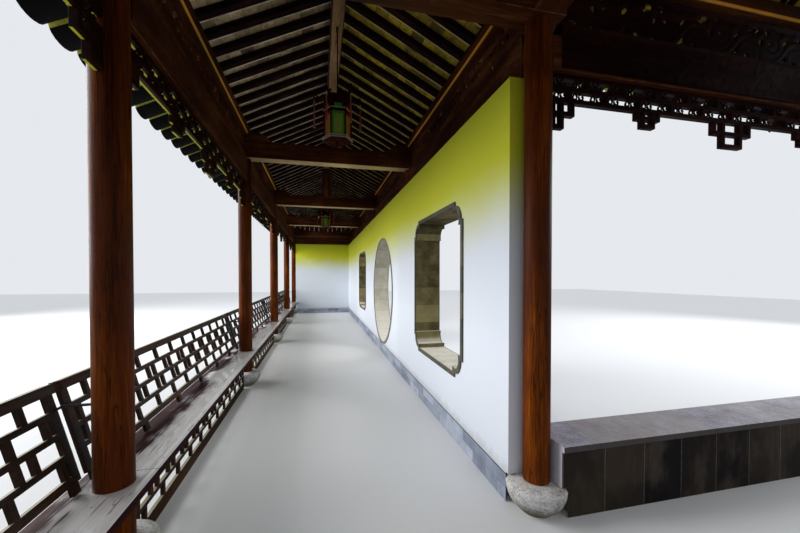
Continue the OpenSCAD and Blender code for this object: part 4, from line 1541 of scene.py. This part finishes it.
@dataclass
class EavesBoards:
    """The boards that close the rafters' ends under the tiles."""

    plan: Plan
    side: Side
    thick: float = 0.024
    drop: float = 0.012
    clear: float = 0.001

    def build(self) -> None:
        """One board along the slope's eaves, mitred at the hip or the valley."""
        slope = TiledSlope(self.plan, self.side)
        inner = self.plan.rafter_run + self.clear / 2
        rings = []
        for end in (0, 1):
            ring = []
            for place, drop in ((inner, 0.0), (inner + self.thick, 0.0), (inner + self.thick, self.drop),
                                (inner, self.drop)):
                begin = -place if self.side.hipped else place
                along = slope.stop() if end else begin
                z = self.plan.base_z - self.plan.slope * place - drop - self.clear
                ring.append(slope.to_frame(np.array(place), np.array(along), np.array(z)))
            rings.append(ring)
        shell = capped_tube(np.array(rings))
        timber = EAVES.along(Grain.Y if self.side.along_y else Grain.X)
        Piece(f"eaves_board_{self.side.label}", "rafter_timber").shape(slope.facing(shell), timber)


@dataclass
class TileRidges:
    """The ridges: a plastered foot, two thin courses and a row of tiles stood on edge, under a capping."""

    plan: Plan
    half: float = 0.065
    step: float = 0.034
    cuts: int = 3
    hip_share: float = 0.62
    clear: float = 0.002
    clay: Finish = ClayTile("ridge_tile", (0.03, 0.032, 0.035), (0.13, 0.13, 0.135), (0.10, 0.105, 0.07), 0.034, 0.1)

    def ribbed(self, path: np.ndarray, height: float) -> Shell:
        """A ridge along a straight path.

        Half-widths and heights up the section are fixed, and on the standing tiles the half-width
        waves by a short arch for each tile along the path.

        Args:
            path: The first and the last point of the foot's middle.
            height: The ridge's height.

        Returns:
            The closed ridge.
        """
        length = float(np.linalg.norm(path[1] - path[0]))
        count = max(2, round(length / self.step)) * self.cuts
        share = np.linspace(0.0, 1.0, count + 1)
        ahead = (path[1] - path[0]) / length
        side = np.array([-ahead[1], ahead[0], 0.0])
        side /= np.linalg.norm(side)
        wave = np.abs(np.sin(share * count / self.cuts * math.pi))
        section = [(0.98, 0.0, 0.0), (0.98, 0.14, 0.0), (0.8, 0.16, 0.0), (0.8, 0.24, 0.0), (0.98, 0.26, 0.0),
                   (0.98, 0.34, 0.0), (0.7, 0.36, 0.16), (0.72, 0.78, 0.16), (0.98, 0.82, 0.0), (0.98, 0.9, 0.0),
                   (0.6, 0.97, 0.0), (0.25, 1.0, 0.0)]
        base = path[0] + (path[1] - path[0]) * share[:, None]
        rings = []
        for sign in (1, -1):
            for wide, high, deep in section[:: sign]:
                reach = sign * self.half * (wide - deep * wave)
                foot = -self.plan.slope * self.half if high == 0.0 else 0.0
                rings.append(base + side * reach[:, None] + [0.0, 0.0, height * high + foot])
        return capped_tube(np.stack(rings, axis=1)).flipped()

    def build(self) -> None:
        """The two level ridges and the one down the hip, in one piece."""
        plan = self.plan
        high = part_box("roof_crests")[1]
        level = high.z - plan.top_z
        start = np.array([plan.ridge_x, plan.ridge_y, plan.top_z + self.clear / 2])
        main = np.array([plan.ridge_x, high.y - self.clear, start[2]])
        wing = np.array([high.x - self.clear, plan.ridge_y, start[2]])
        reach = plan.run - self.half * 1.2
        hip = start + np.array([-reach, -reach, -plan.slope * reach])
        shells = [self.ribbed(np.stack([start - [0.0, self.half, 0.0], main]), level),
                  self.ribbed(np.stack([start - [self.half, 0.0, 0.0], wing]), level - self.clear),
                  self.ribbed(np.stack([start, hip]), level * self.hip_share)]
        Piece("ridge_tiles", "tile", replaces=["roof_crests"], smooth_angle=40.0).shape(joined(shells), self.clay)


@dataclass(frozen=True)
class Carving:
    """A vine with spiral shoots and leaf tips, carved in a board. Ground past the web's width is pierced."""

    cell: float
    border: float
    stroke: float
    repeat: float
    relief: float
    web: float
    samples: int = 160

    def strokes(self, height: float) -> tuple[np.ndarray, np.ndarray]:
        """Points along the pattern's lines within one repeat, and the stroke's half-width there.

        The stem is a sine wave; at each crest a spiral r = a (1 - 0.82 t) winds 1.6 times into the wave's
        bay, and small leaves sit between the spirals.

        Args:
            height: The board's height.

        Returns:
            Points of shape (n, 2), and n half-widths.
        """
        mid, swing = height / 2, height * 0.22
        t = np.linspace(0.0, 1.0, self.samples)
        lines = [np.stack([t * self.repeat, mid + swing * np.sin(2 * math.pi * t)], axis=-1)]
        wide = [np.full(self.samples, self.stroke)]
        for k, way in ((0.25, -1.0), (0.75, 1.0)):
            a = height * 0.26
            angle = -way * math.pi / 2 + way * t * 3.2 * math.pi
            radius = a * (1 - 0.82 * t)
            centre = (k * self.repeat, mid + way * height * 0.12)
            lines.append(np.stack([centre[0] + radius * np.cos(angle), centre[1] - radius * np.sin(angle)], axis=-1))
            wide.append(self.stroke * (0.95 - 0.45 * t))
        for k, high in ((0.0, 0.8), (0.5, 0.2), (0.02, 0.24), (0.52, 0.76), (0.25, 0.86), (0.75, 0.14)):
            s = np.linspace(-1.0, 1.0, 24)
            leaf = np.stack([(k + 0.09 * s) * self.repeat, (high + 0.05 * np.sin(3 * s)) * height], axis=-1)
            lines.append(leaf)
            wide.append(self.stroke * 1.15 * (1 - 0.7 * np.abs(s)))
        return np.concatenate(lines), np.concatenate(wide)

    def field(self, along: np.ndarray, up: np.ndarray, length: float, height: float) -> np.ndarray:
        """How far inside the wood a point lies: the largest of half-width minus distance, over all the lines.

        Args:
            along: Places along the board.
            up: Heights over its foot.
            length: Its length.
            height: Its height.

        Returns:
            Distances in metres, negative in the ground.
        """
        points, wide = self.strokes(height)
        repeats = max(1, round(length / self.repeat))
        place = (along / length * repeats) % 1.0 * self.repeat
        best = np.full(along.shape, -1.0)
        for shift in (-self.repeat, 0.0, self.repeat):
            dx = place[..., None] - (points[:, 0] + shift)
            dz = up[..., None] - points[:, 1]
            best = np.maximum(best, (wide - np.hypot(dx, dz)).max(-1))
        rim = np.minimum(np.minimum(up, height - up), np.minimum(along, length - along))
        return np.maximum(best, self.border - rim)

    def panel(self, length: float, height: float, thick: float) -> Shell:
        """A carved board in the XZ plane, from the origin, centred on Y = 0.

        Cells whose middle lies in a hole are left out, and points beside a hole slide along the field's
        slope onto its edge. The faces swell by the relief towards the middle of each stroke, and the
        ground between the strokes stays sunk.

        Args:
            length: The board's length.
            height: Its height.
            thick: Its thickness over the strokes.

        Returns:
            The closed board.
        """
        columns = max(2, round(length / self.cell))
        rows = max(2, round(height / self.cell))
        x, z = np.meshgrid(np.linspace(0, length, columns + 1), np.linspace(0, height, rows + 1))
        inside = self.field(x, z, length, height)
        deep = inside + self.web
        slope_z, slope_x = np.gradient(deep, height / rows, length / columns)
        steep = np.maximum(slope_x ** 2 + slope_z ** 2, 0.3)
        middle = (deep[:-1, :-1] + deep[1:, :-1] + deep[:-1, 1:] + deep[1:, 1:]) / 4
        wood = middle > 0
        padded = np.pad(wood, 1, constant_values=False)
        around = np.stack([padded[:-1, :-1], padded[1:, :-1], padded[:-1, 1:], padded[1:, 1:]])
        edge = around.any(0) & ~around.all(0)
        edge[0], edge[-1], edge[:, 0], edge[:, -1] = False, False, False, False
        pull = np.where(edge, np.clip(deep, -0.6 * self.cell, 0.6 * self.cell) / steep, 0.0)
        x = x - pull * slope_x
        z = z - pull * slope_z
        swell = thick / 2 - self.relief * (1 - np.clip(inside / self.stroke, 0.0, 1.0) ** 0.7)
        swell = np.where(edge, thick / 2 - self.relief, swell)
        front = np.stack([x, -swell, z], axis=-1)
        back = np.stack([x, swell, z], axis=-1)
        size = x.size
        index = np.arange(size).reshape(x.shape)
        quads = np.stack([index[:-1, :-1], index[:-1, 1:], index[1:, 1:], index[1:, :-1]], axis=-1)[wood]
        walls = []
        empty = ~padded
        for cut, a, b in (
            (empty[:-2, 1:-1], index[:-1, :-1], index[:-1, 1:]),
            (empty[2:, 1:-1], index[1:, 1:], index[1:, :-1]),
            (empty[1:-1, :-2], index[1:, :-1], index[:-1, :-1]),
            (empty[1:-1, 2:], index[:-1, 1:], index[1:, 1:]),
        ):
            chosen = wood & cut
            walls.append(np.stack([b[chosen], a[chosen], a[chosen] + size, b[chosen] + size], axis=-1))
        faces = np.concatenate([quads, quads[:, ::-1] + size, *walls])
        return Shell(np.concatenate([front.reshape(-1, 3), back.reshape(-1, 3)]), faces)


@dataclass
class CarvedBands:
    """The pierced friezes over the lintels, and the shallow carving on the lintels' two faces."""

    plan: Plan
    frieze: Carving = Carving(0.0165, 0.03, 0.0165, 0.5, 0.008, 0.0125)
    band: Carving = Carving(0.0175, 0.014, 0.0095, 0.34, 0.0075, 1.0)
    stop: float = 0.1003
    head: float = 0.141
    frieze_thick: float = 0.03
    lintel_thick: float = 0.126
    margin: float = 0.018

    def bays(self) -> list[tuple[str, bool, float, float, float]]:
        """Each bay's line: its name, whether it runs along Y, its start, its stop and its place across.

        Returns:
            One row for each bay.
        """
        plan = self.plan
        found = []
        for first, last in plan.pond_bays():
            found.append(("pond", True, first + self.stop, last - self.stop, plan.pond_x))
            if first > plan.outer_y:
                found.append(("wall", True, first + self.stop, last - self.stop, 0.0))
        for first, last, y in plan.wing_bays():
            found.append(("wing", False, first + (self.head if first == 0.0 else self.stop), last - self.stop, y))
        return found

    def line(self, kind: str, carving: Carving, thick: float, low: float, height: float,
             replaces: Sequence[str]) -> None:
        """One piece for each line of bays: open side, wall and wing.

        Args:
            kind: The pieces' first name.
            carving: The pattern.
            thick: The carved board's thickness over its strokes.
            low: The height of its foot.
            height: Its height.
            replaces: The nodes that the pieces stand for.
        """
        groups: dict[str, list[Shell]] = {}
        for name, along_y, start, stop, across in self.bays():
            panel = carving.panel(stop - start, height, thick)
            if along_y:
                panel = panel.turned(math.pi / 2).moved((across, start, low))
            else:
                panel = panel.moved((start, across, low))
            groups.setdefault(name, []).append(panel)
        for name, shells in groups.items():
            # The wing's carving wears the copy painted in shade
            finish = CARVED_IN_SHADE.along(Grain.X) if name == "wing" else CARVED.along(Grain.Y)
            piece = Piece(f"{kind}_{name}", "carved_timber", replaces=replaces, smooth_angle=45.0)
            piece.shape(joined(shells), finish)

    def build(self) -> None:
        """Pierced boards in place of the plain ones, and carved faces on the lintels."""
        low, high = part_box("frieze_boards")
        self.line("frieze", self.frieze, self.frieze_thick, low.z, high.z - low.z, ["frieze_boards"])
        low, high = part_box("lintels")
        self.line("lintel_carving", self.band, self.lintel_thick, low.z + self.margin,
                  high.z - low.z - 2 * self.margin, [])


@dataclass
class HangingScrolls:
    """Small carved scrolls in the cells of the hanging frets' two rows."""

    plan: Plan
    band: float = 0.19
    repeat: float = 0.15
    bar_r: float = 0.0075

    def scroll(self, cell: float) -> Shell:
        """A pair of curls back to back, in round bar: the radius r = cell (0.18 - 0.12 t) winds 0.95 of a turn.

        Args:
            cell: The width of the cell that it fills.

        Returns:
            The two curls, centred on the cell.
        """
        t = np.linspace(0.0, 1.0, 13)
        shells = []
        for way in (1.0, -1.0):
            angle = math.pi / 2 + t * 1.9 * math.pi
            radius = cell * (0.18 - 0.12 * t)
            x = way * (0.2 * cell + radius * np.cos(angle))
            path = np.stack([x, np.zeros_like(x), radius * np.sin(angle)], axis=-1)
            shells.append(tube(path, self.bar_r, 6))
        return joined(shells)

    def run(self, length: float) -> Shell:
        """Scrolls along one bay, centred on x = 0, hanging from z = 0.

        Args:
            length: The clear length between two columns.

        Returns:
            The bay's scrolls.
        """
        count = max(2, 2 * round(length / self.repeat / 2))
        cell = length / count
        places = -length / 2 + (np.arange(count) + 0.5) * cell
        rows = [np.stack([places, np.zeros_like(places), np.full_like(places, -self.band * share)], axis=-1)
                for share in (0.29, 0.71)]
        return repeated(self.scroll(cell), np.concatenate(rows))

    def build(self) -> None:
        """Scrolls in every band of the open side and the wing."""
        plan = self.plan
        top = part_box("hanging_fret_pond")[1].z
        gap = plan.column_r
        pond = [self.run(b - a - 2 * gap).turned(math.pi / 2).moved((plan.pond_x, (a + b) / 2, top))
                for a, b in plan.pond_bays()]
        Piece("fret_scrolls_pond", "carved_timber").shape(joined(pond), CARVED_IN_SHADE.along(Grain.Y))
        wing = [self.run(b - a - 2 * gap).moved(((a + b) / 2, y, top)) for a, b, y in plan.wing_bays()]
        Piece("fret_scrolls_wing", "carved_timber").shape(joined(wing), CARVED_IN_SHADE.along(Grain.X))


@dataclass
class Frame:
    """Columns, beams, purlins, posts, rafters and boards, eased and grained."""

    plan: Plan
    ease: float = 0.006
    ridge_ease: float = 0.013
    rafter_ease: float = 0.005

    def build(self) -> None:
        """Stands for each timber node with eased copies."""
        for node, timber, arris in (("columns", COLUMN, None), ("king_posts", BEAM, WORN),
                                    ("hip_and_valley", BEAM, WORN), ("lintels", BEAM, WORN),
                                    ("gable_boards", BEAM, WORN), ("cross_beams", TIE, WORN),
                                    ("eaves_purlins", PURLIN, None)):
            eased_copy(node, timber, "timber", self.ease, arris=arris)
        eased_copy("ridge_purlins", RIDGE, "pale_timber", self.ridge_ease, arris=RIDGE_ARRIS)
        for side in Side:
            eased_copy(f"rafters_{side.label}", self.rafters(side), "rafter_timber", self.rafter_ease, segments=1)

    def rafters(self, side: Side) -> RafterTimber:
        """The dark purple-brown finish of one slope's rafters, with its painted highlight line palest on the open
        side's slope.

        Args:
            side: The slope.

        Returns:
            The finish, with its lines spaced as the rafters are.
        """
        across, first = (Grain.Y, self.plan.row(0)) if side.along_y else (Grain.X, self.plan.wing_x)
        # The line's colour is a painted highlight: whitish on the open side's slope, yellow on the others
        pale = (1.0, 0.84, 0.70) if side is Side.POND else (0.70, 0.56, 0.22)
        return replace(RAFTER, name=f"rafters_{side.label}", across=across, pitch=self.plan.rafter_pitch, first=first,
                       pale=pale)


@dataclass
class GableBoarding:
    """Upright boards that close the far gable over the end wall, up to the ceiling."""

    plan: Plan
    count: int = 12
    thick: float = 0.018
    gap: float = 0.0015
    rise: float = 0.03
    clear: float = 0.002

    def build(self) -> None:
        """A row of boards, each cut to the slope over it."""
        plan = self.plan
        wall_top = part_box("end_wall")[1].z
        half = plan.ridge_x - plan.pond_x - plan.column_r
        edges = np.linspace(plan.ridge_x - half, plan.ridge_x + half, self.count + 1)
        back = plan.row(4) + self.thick
        boards = []
        for start, stop in zip(edges[:-1] + self.gap, edges[1:] - self.gap):
            x = np.array([start, stop, stop, start])
            y = np.array([back - self.thick, back - self.thick, back, back])
            top = plan.base_z - plan.slope * np.abs(x - plan.ridge_x) - self.clear
            foot = np.full(4, wall_top + self.rise)
            boards.append(capped_tube(np.stack([np.stack([x, y, foot], axis=-1), np.stack([x, y, top], axis=-1)])))
        Piece("gable_boarding", "timber").shape(joined(boards), COLUMN.along(Grain.Z))


@dataclass
class Frets:
    """The hanging frets, the low fret and the back rests."""

    hanging_ease: float = 0.0035
    rest_ease: float = 0.003
    face_share: float = 0.004

    def build(self) -> None:
        """Stands for each fret with an eased copy. On the open side, the undersides of the outer half carry painted
        yellow-green light.
        """
        low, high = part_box("hanging_fret_pond")
        # Painted yellow-green light from the garden on the outer undersides of the open side's fret
        pond = replace(CARVED_IN_SHADE, name="pond_fret_timber", painted_light=(1.0, 0.98, 0.04),
                       painted_light_side=(low.x + high.x) / 2 - self.face_share)
        eased_copy("hanging_fret_pond", pond, "carved_timber", self.hanging_ease)
        eased_copy("hanging_fret_wing", CARVED_IN_SHADE, "carved_timber", self.hanging_ease)
        for node in ("seat_fret", "back_rest_near", "back_rest_middle", "back_rest_far"):
            eased_copy(node, FRET, "fret_timber", self.rest_ease)
        iron = Iron("black_iron", (0.045, 0.045, 0.048), (0.11, 0.045, 0.02))
        dress("back_rest_ties", iron)
        dress("lantern_hooks", iron)


@dataclass
class Seat:
    """The long seat board with its rounded, worn arris."""

    plan: Plan
    ease: float = 0.009
    joint: float = 0.12

    def build(self) -> None:
        """Stands for the board with an eased copy."""
        low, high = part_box("seat_board")
        joints = tuple(round(self.plan.row(i) + self.joint, 4) for i in range(5))
        finish = SeatBoard("worn_seat", (0.010, 0.0015, 0.002), (0.04, 0.007, 0.007), (0.12, 0.03, 0.028), high.z,
                           high.x, high.x - low.x, joints)
        eased_copy("seat_board", finish, "seat_wood", self.ease, segments=3)


@dataclass
class Walls:
    """Plastered walls, rubbed brick plinths and the linings of the openings."""

    def build(self) -> None:
        """Dresses the wall nodes in place."""
        low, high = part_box("wall_gate")
        # The plaster's second tone is painted yellow-green light
        plaster = Plaster("lime_plaster", (0.77, 0.82, 0.90), (0.66, 0.69, 0.02), (0.38, 0.37, 0.33), low.z, high.z)
        for node in ("wall_near", "wall_gate", "wall_far", "wall_plain", "end_wall"):
            dress(node, plaster)
        dress("wall_plinths", RubbedBrick("plinth_brick", (0.20, 0.235, 0.31), (0.52, 0.57, 0.68),
                                          (0.10, 0.12, 0.16), 0.42, 0.095, gap=0.002))
        ring_low, ring_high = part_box("moon_gate_lining")
        radius = (ring_high.z - ring_low.z) / 2
        # sill is painted light on the lining faces that look up
        rim = {"rim": (0.045, 0.055, 0.058), "rim_x": ring_high.x - 0.012, "sill": (0.82, 0.79, 0.70)}
        dress("moon_gate_lining", RubbedBrick("gate_brick", (0.60, 0.55, 0.40), (0.95, 0.92, 0.80),
                                              (0.16, 0.15, 0.12), 0.27, 0.0, ring_low.z + radius, radius, **rim))
        # The window linings' dark tones are painted shade over the reveals of a brick as pale as the gate's
        dress("window_linings", RubbedBrick("window_brick", (0.06, 0.047, 0.01), (0.42, 0.36, 0.16),
                                            (0.05, 0.045, 0.02), 0.24, **rim))


@dataclass
class Stonework:
    """Drum bases and the parapet with its coping."""

    def build(self) -> None:
        """Dresses the stone nodes in place."""
        lilac = (0.62, 0.60, 0.68)
        dress("column_bases", DressedStone("pocked_granite", (0.13, 0.115, 0.085), (1.0, 1.0, 1.0),
                                           (0.72, 0.66, 0.52), 60.0, 2.2, foot=(0.15, 0.12, 0.03)))
        dress("parapet", DressedStone("parapet_blocks", (0.0014, 0.0007, 0.001), (0.009, 0.006, 0.0055),
                                      (0.036, 0.025, 0.015), 60.0, 0.4, 0.325, 0.104, 0.85, (0.30, 0.27, 0.25),
                                      (0.07, 0.052, 0.038), end=lilac))
        dress("parapet_coping", DressedStone("coping_stone", (0.07, 0.062, 0.085), (0.50, 0.48, 0.58),
                                             (0.30, 0.26, 0.24), 70.0, 0.5, 0.5, 0.37, 0.62, (0.05, 0.045, 0.05),
                                             scratch=(0.13, 0.075, 0.03), side=(0.035, 0.025, 0.02), end=lilac))


@dataclass
class Lantern:
    """A hanging hexagonal lantern: carved arms, glazed sides, beads and silk tassels."""

    side: str
    arm: float = 0.25
    arm_under_tassel: float = 0.0233
    ease: float = 0.0015
    curl_at: float = 0.19
    curl_r: float = 0.03
    curl_bar: float = 0.0055
    tip: float = 0.07
    tip_rise: float = 0.062
    tip_bar: float = 0.008
    post_r: float = 0.158
    board_r: float = 0.147
    board_z: float = 0.024
    panel: tuple[float, float, float] = (0.08, 0.003, 0.05)
    bead: float = 0.0072
    string: float = 0.06

    def ornaments(self, middle: np.ndarray, top: float) -> Shell:
        """Scrolled brackets under the arms, their upturned tips, and knobs over the arms and the posts.

        A bracket's radius shrinks as r (1 - 0.7 t) over 1.05 turns, and a tip rises as a quarter circle.

        Args:
            middle: The lantern's axis.
            top: The arms' upper side.

        Returns:
            All of them in one shell.
        """
        shells = []
        axis = middle * [1, 1, 0]
        t = np.linspace(0.0, 1.0, 17)
        knob = lathe([0.002, 0.009, 0.012, 0.009, 0.003], [0.0, 0.004, 0.012, 0.02, 0.027], 10)
        for turn in turns(6):
            out = np.array([math.cos(turn), math.sin(turn), 0.0])
            curl = self.curl_r * (1 - 0.7 * t)
            angle = math.pi * (0.5 + 2.1 * t)
            path = axis + out * (self.curl_at + curl * np.cos(angle))[:, None]
            path[:, 2] = top - 0.057 + curl * np.sin(angle)
            shells.append(tube(path, self.curl_bar, 6))
            sweep = 0.5 * math.pi * t
            tip = axis + out * (self.arm - 0.075 + self.tip * np.sin(sweep))[:, None]
            tip[:, 2] = top + self.tip_rise * (1 - np.cos(sweep))
            shells.append(tube(tip, self.tip_bar - 0.0045 * t, 6))
            for radius, low in ((self.arm - 0.006, 0.046), (self.post_r, 0.012)):
                shells.append(knob.moved(axis + out * radius + [0.0, 0.0, top + low]))
        return joined(shells)

    def panels(self, middle: np.ndarray, foot: float) -> Shell:
        """Small painted panels, one on each side of the board over the glass, kept clear of the posts.

        Args:
            middle: The lantern's axis.
            foot: The panels' lower edge.

        Returns:
            All six in one shell.
        """
        width, thick, high = self.panel
        panel = block((-width / 2, 0.0, 0.0), (width / 2, thick, high))
        away = self.board_r * math.cos(math.pi / 6) + 0.0002
        return joined(panel.turned(turn).moved([middle[0] - away * math.sin(turn),
                                                middle[1] + away * math.cos(turn), foot])
                      for turn in turns(6) - math.pi / 3)

    def beads(self, middle: np.ndarray, foot: float) -> Shell:
        """Rows of beads round the body's foot and head: each bead is a small lathe on a side of the hexagon.

        Args:
            middle: The lantern's axis.
            foot: The body's lower edge.

        Returns:
            All the beads in one shell.
        """
        bead = lathe([0.001, 0.0062, self.bead, 0.0062, 0.001], [-0.007, -0.0035, 0.0, 0.0035, 0.007], 8)
        corner = np.append(turns(6), 2 * math.pi)
        share = (np.arange(10) + 0.5) / 10
        rows = []
        for radius, high in ((self.post_r, foot + 0.009), (0.160, foot + 0.028), (0.148, foot + 0.312)):
            ring = radius * np.stack([np.cos(corner), np.sin(corner)], axis=-1)
            places = (ring[:-1, None] + (ring[1:] - ring[:-1])[:, None] * share[None, :, None]).reshape(-1, 2)
            rows.append(np.column_stack([places + middle[:2], np.full(len(places), high)]))
        return repeated(bead, np.concatenate(rows))

    def tassels(self, middle: np.ndarray) -> Shell:
        """Bead strings and silk skirts in place of the plain ones.

        Args:
            middle: The lantern's axis.

        Returns:
            One tassel under each arm, in one shell.
        """
        low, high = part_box(f"{self.side}_lantern_tassels")
        skirt = self.skirt(0.0125, high.z - low.z - self.string - 0.002, self.string)
        out = self.arm - 0.008
        return joined(skirt.moved([middle[0] + out * math.cos(turn), middle[1] + out * math.sin(turn), low.z])
                      for turn in turns(6))

    @staticmethod
    def skirt(radius: float, length: float, string: float) -> Shell:
        """One tassel hanging over its foot at z = 0, with three beads on its string.

        The skirt's radius shrinks upwards as 1 - 0.45 h^0.7 and waves as a cosine round its foot.

        Args:
            radius: Its radius at the foot.
            length: The skirt's length.
            string: The string's length.

        Returns:
            The tassel, with its beads as material 1.
        """
        rise = np.linspace(0.0, 1.0, 9)
        angle = turns(20)
        fold = 1 + 0.1 * np.cos(5 * angle)[None] * (1 - rise)[:, None]
        body = radius * (1.0 - 0.45 * rise ** 0.7)[:, None] * fold * 0.92
        high = np.broadcast_to((rise * length)[:, None], body.shape)
        rings = np.stack([body * np.cos(angle), body * np.sin(angle), high], axis=-1)
        knot = [length - 0.002, length + 0.006, length + 0.014]
        shells = [capped_tube(rings), lathe([0.4 * radius, 0.7 * radius, 0.4 * radius], knot, 12),
                  lathe([0.0016, 0.0016], [length, length + string], 6)]
        for k in range(3):
            foot = length + string * (0.3 + 0.22 * k)
            shells.append(lathe([0.001, 0.0055, 0.001], [foot, foot + 0.005, foot + 0.01], 10).painted(1))
        return joined(shells)

    def build(self) -> None:
        """Makes the lantern's pieces and dresses its panes."""
        body = f"{self.side}_lantern"
        low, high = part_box(f"{body}_panes")
        middle = np.array([(low.x + high.x) / 2, (low.y + high.y) / 2, low.z])
        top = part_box(f"{body}_tassels")[1].z + self.arm_under_tassel
        glass = PaintedGlass(f"{body}_glass", (0.55, 0.02, 0.012), (0.06, 0.34, 0.05), (0.42, 0.42, 0.07),
                             float(middle[0]), float(middle[1]), low.z, high.z)
        silk = Silk("red_silk", (0.2, 0.02, 0.012), (0.42, 0.11, 0.06))
        bead = Silk("cream_beads", (0.4, 0.33, 0.2), (0.6, 0.54, 0.42))
        eased_copy(f"{body}_frame", LANTERN, "lantern_wood", self.ease, body, segments=1)
        dress(f"{body}_panes", glass)
        for name, shell, finishes, slot, replaces in (
            ("scrolls", self.ornaments(middle, top), [LANTERN], "lantern_wood", ()),
            ("panels", self.panels(middle, high.z + self.board_z), [glass], "lantern_glass", ()),
            ("beads", self.beads(middle, low.z - 0.018), [bead], "tassel", ()),
            ("fringe", self.tassels(middle), [silk, bead], "tassel", [f"{body}_tassels"]),
        ):
            Piece(f"{body}_{name}", slot, body, replaces).shape(shell, *finishes)


@dataclass
class Studio:
    """A plain pale floor, soft lamps and the camera."""

    eye: tuple[float, float, float] = (-1.4512, -7.2170, 1.5917)
    yaw: float = 0.2277
    pitch: float = -0.0155
    lens: float = 15.773
    shift: float = 0.0189
    floor_size: float = 60.0
    floor_seen: Rgb = (0.78, 0.79, 0.80)
    floor_thrown: Rgb = (0.29, 0.29, 0.295)
    sky_tone: Rgb = (0.93, 0.96, 1.0)
    sky_strength: float = 0.85

    def floor(self) -> None:
        """A wide floor that is pale to the eye, and darker to the light that it throws back."""
        half = self.floor_size / 2
        mesh = bpy.data.meshes.new("floor")
        mesh.from_pydata([(-half, -half, 0), (half, -half, 0), (half, half, 0), (-half, half, 0)], [], [(0, 1, 2, 3)])
        ground = bpy.data.objects.new("floor", mesh)
        bpy.context.scene.collection.objects.link(ground)
        material = bpy.data.materials.new("pale_floor")
        graph = Graph(material)
        seen = graph.node("ShaderNodeLightPath", {}, {}, out="Is Camera Ray")
        colour = graph.mix(seen, self.floor_thrown, self.floor_seen)
        graph.finish({"Base Color": colour, "Roughness": 0.9})
        mesh.materials.append(material)

    def sky(self) -> None:
        """An even pale world."""
        world = bpy.data.worlds.new("pale_world")
        bpy.context.scene.world = world
        world.use_nodes = True
        background = world.node_tree.nodes["Background"]
        background.inputs["Color"].default_value = (*self.sky_tone, 1.0)
        background.inputs["Strength"].default_value = self.sky_strength

    def lamp(self, name: str, place: Sequence[float], target: Sequence[float], size: float, power: float) -> None:
        """A square soft lamp aimed at a point.

        Args:
            name: The lamp's name.
            place: Where it hangs.
            target: What it is aimed at.
            size: Its side in metres.
            power: Its watts.
        """
        light = bpy.data.lights.new(name, "AREA")
        light.shape = "SQUARE"
        light.size = size
        light.energy = power
        made = bpy.data.objects.new(name, light)
        made.location = place
        made.rotation_euler = (Vector(target) - Vector(place)).to_track_quat("-Z", "Y").to_euler()
        bpy.context.scene.collection.objects.link(made)

    def camera(self) -> None:
        """The camera at the photograph's place: turned right of +Y by the yaw, up by the pitch, its frame raised."""
        data = bpy.data.cameras.new("camera")
        data.lens = self.lens
        data.sensor_width = 36.0
        data.shift_y = self.shift
        data.clip_start = 0.02
        made = bpy.data.objects.new("camera", data)
        made.location = self.eye
        made.rotation_euler = (math.pi / 2 + self.pitch, 0.0, -self.yaw)
        bpy.context.scene.collection.objects.link(made)
        bpy.context.scene.camera = made

    def build(self) -> None:
        """Sets the stage."""
        bpy.context.scene.view_settings.view_transform = "Standard"
        self.camera()
        self.floor()
        self.sky()
        self.lamp("pond_light", (-14.0, 2.0, 6.0), (0.0, 0.0, 1.2), 10.0, 2600.0)
        self.lamp("court_light", (12.0, -2.0, 7.0), (0.0, -4.0, 1.0), 8.0, 900.0)


def main() -> None:
    """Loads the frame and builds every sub-assembly in order."""
    logging.basicConfig(level=logging.INFO, format="%(name)s: %(message)s")
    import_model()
    plan = Plan.read()
    Studio().build()
    Walls().build()
    Stonework().build()
    Frame(plan).build()
    for side in Side:
        TiledSlope(plan, side).build()
        EavesBoards(plan, side).build()
    TileRidges(plan).build()
    GableBoarding(plan).build()
    CarvedBands(plan).build()
    Frets().build()
    HangingScrolls(plan).build()
    Seat(plan).build()
    for side in ("near", "far"):
        Lantern(side).build()
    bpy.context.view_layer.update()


if __name__ == "__main__":
    main()
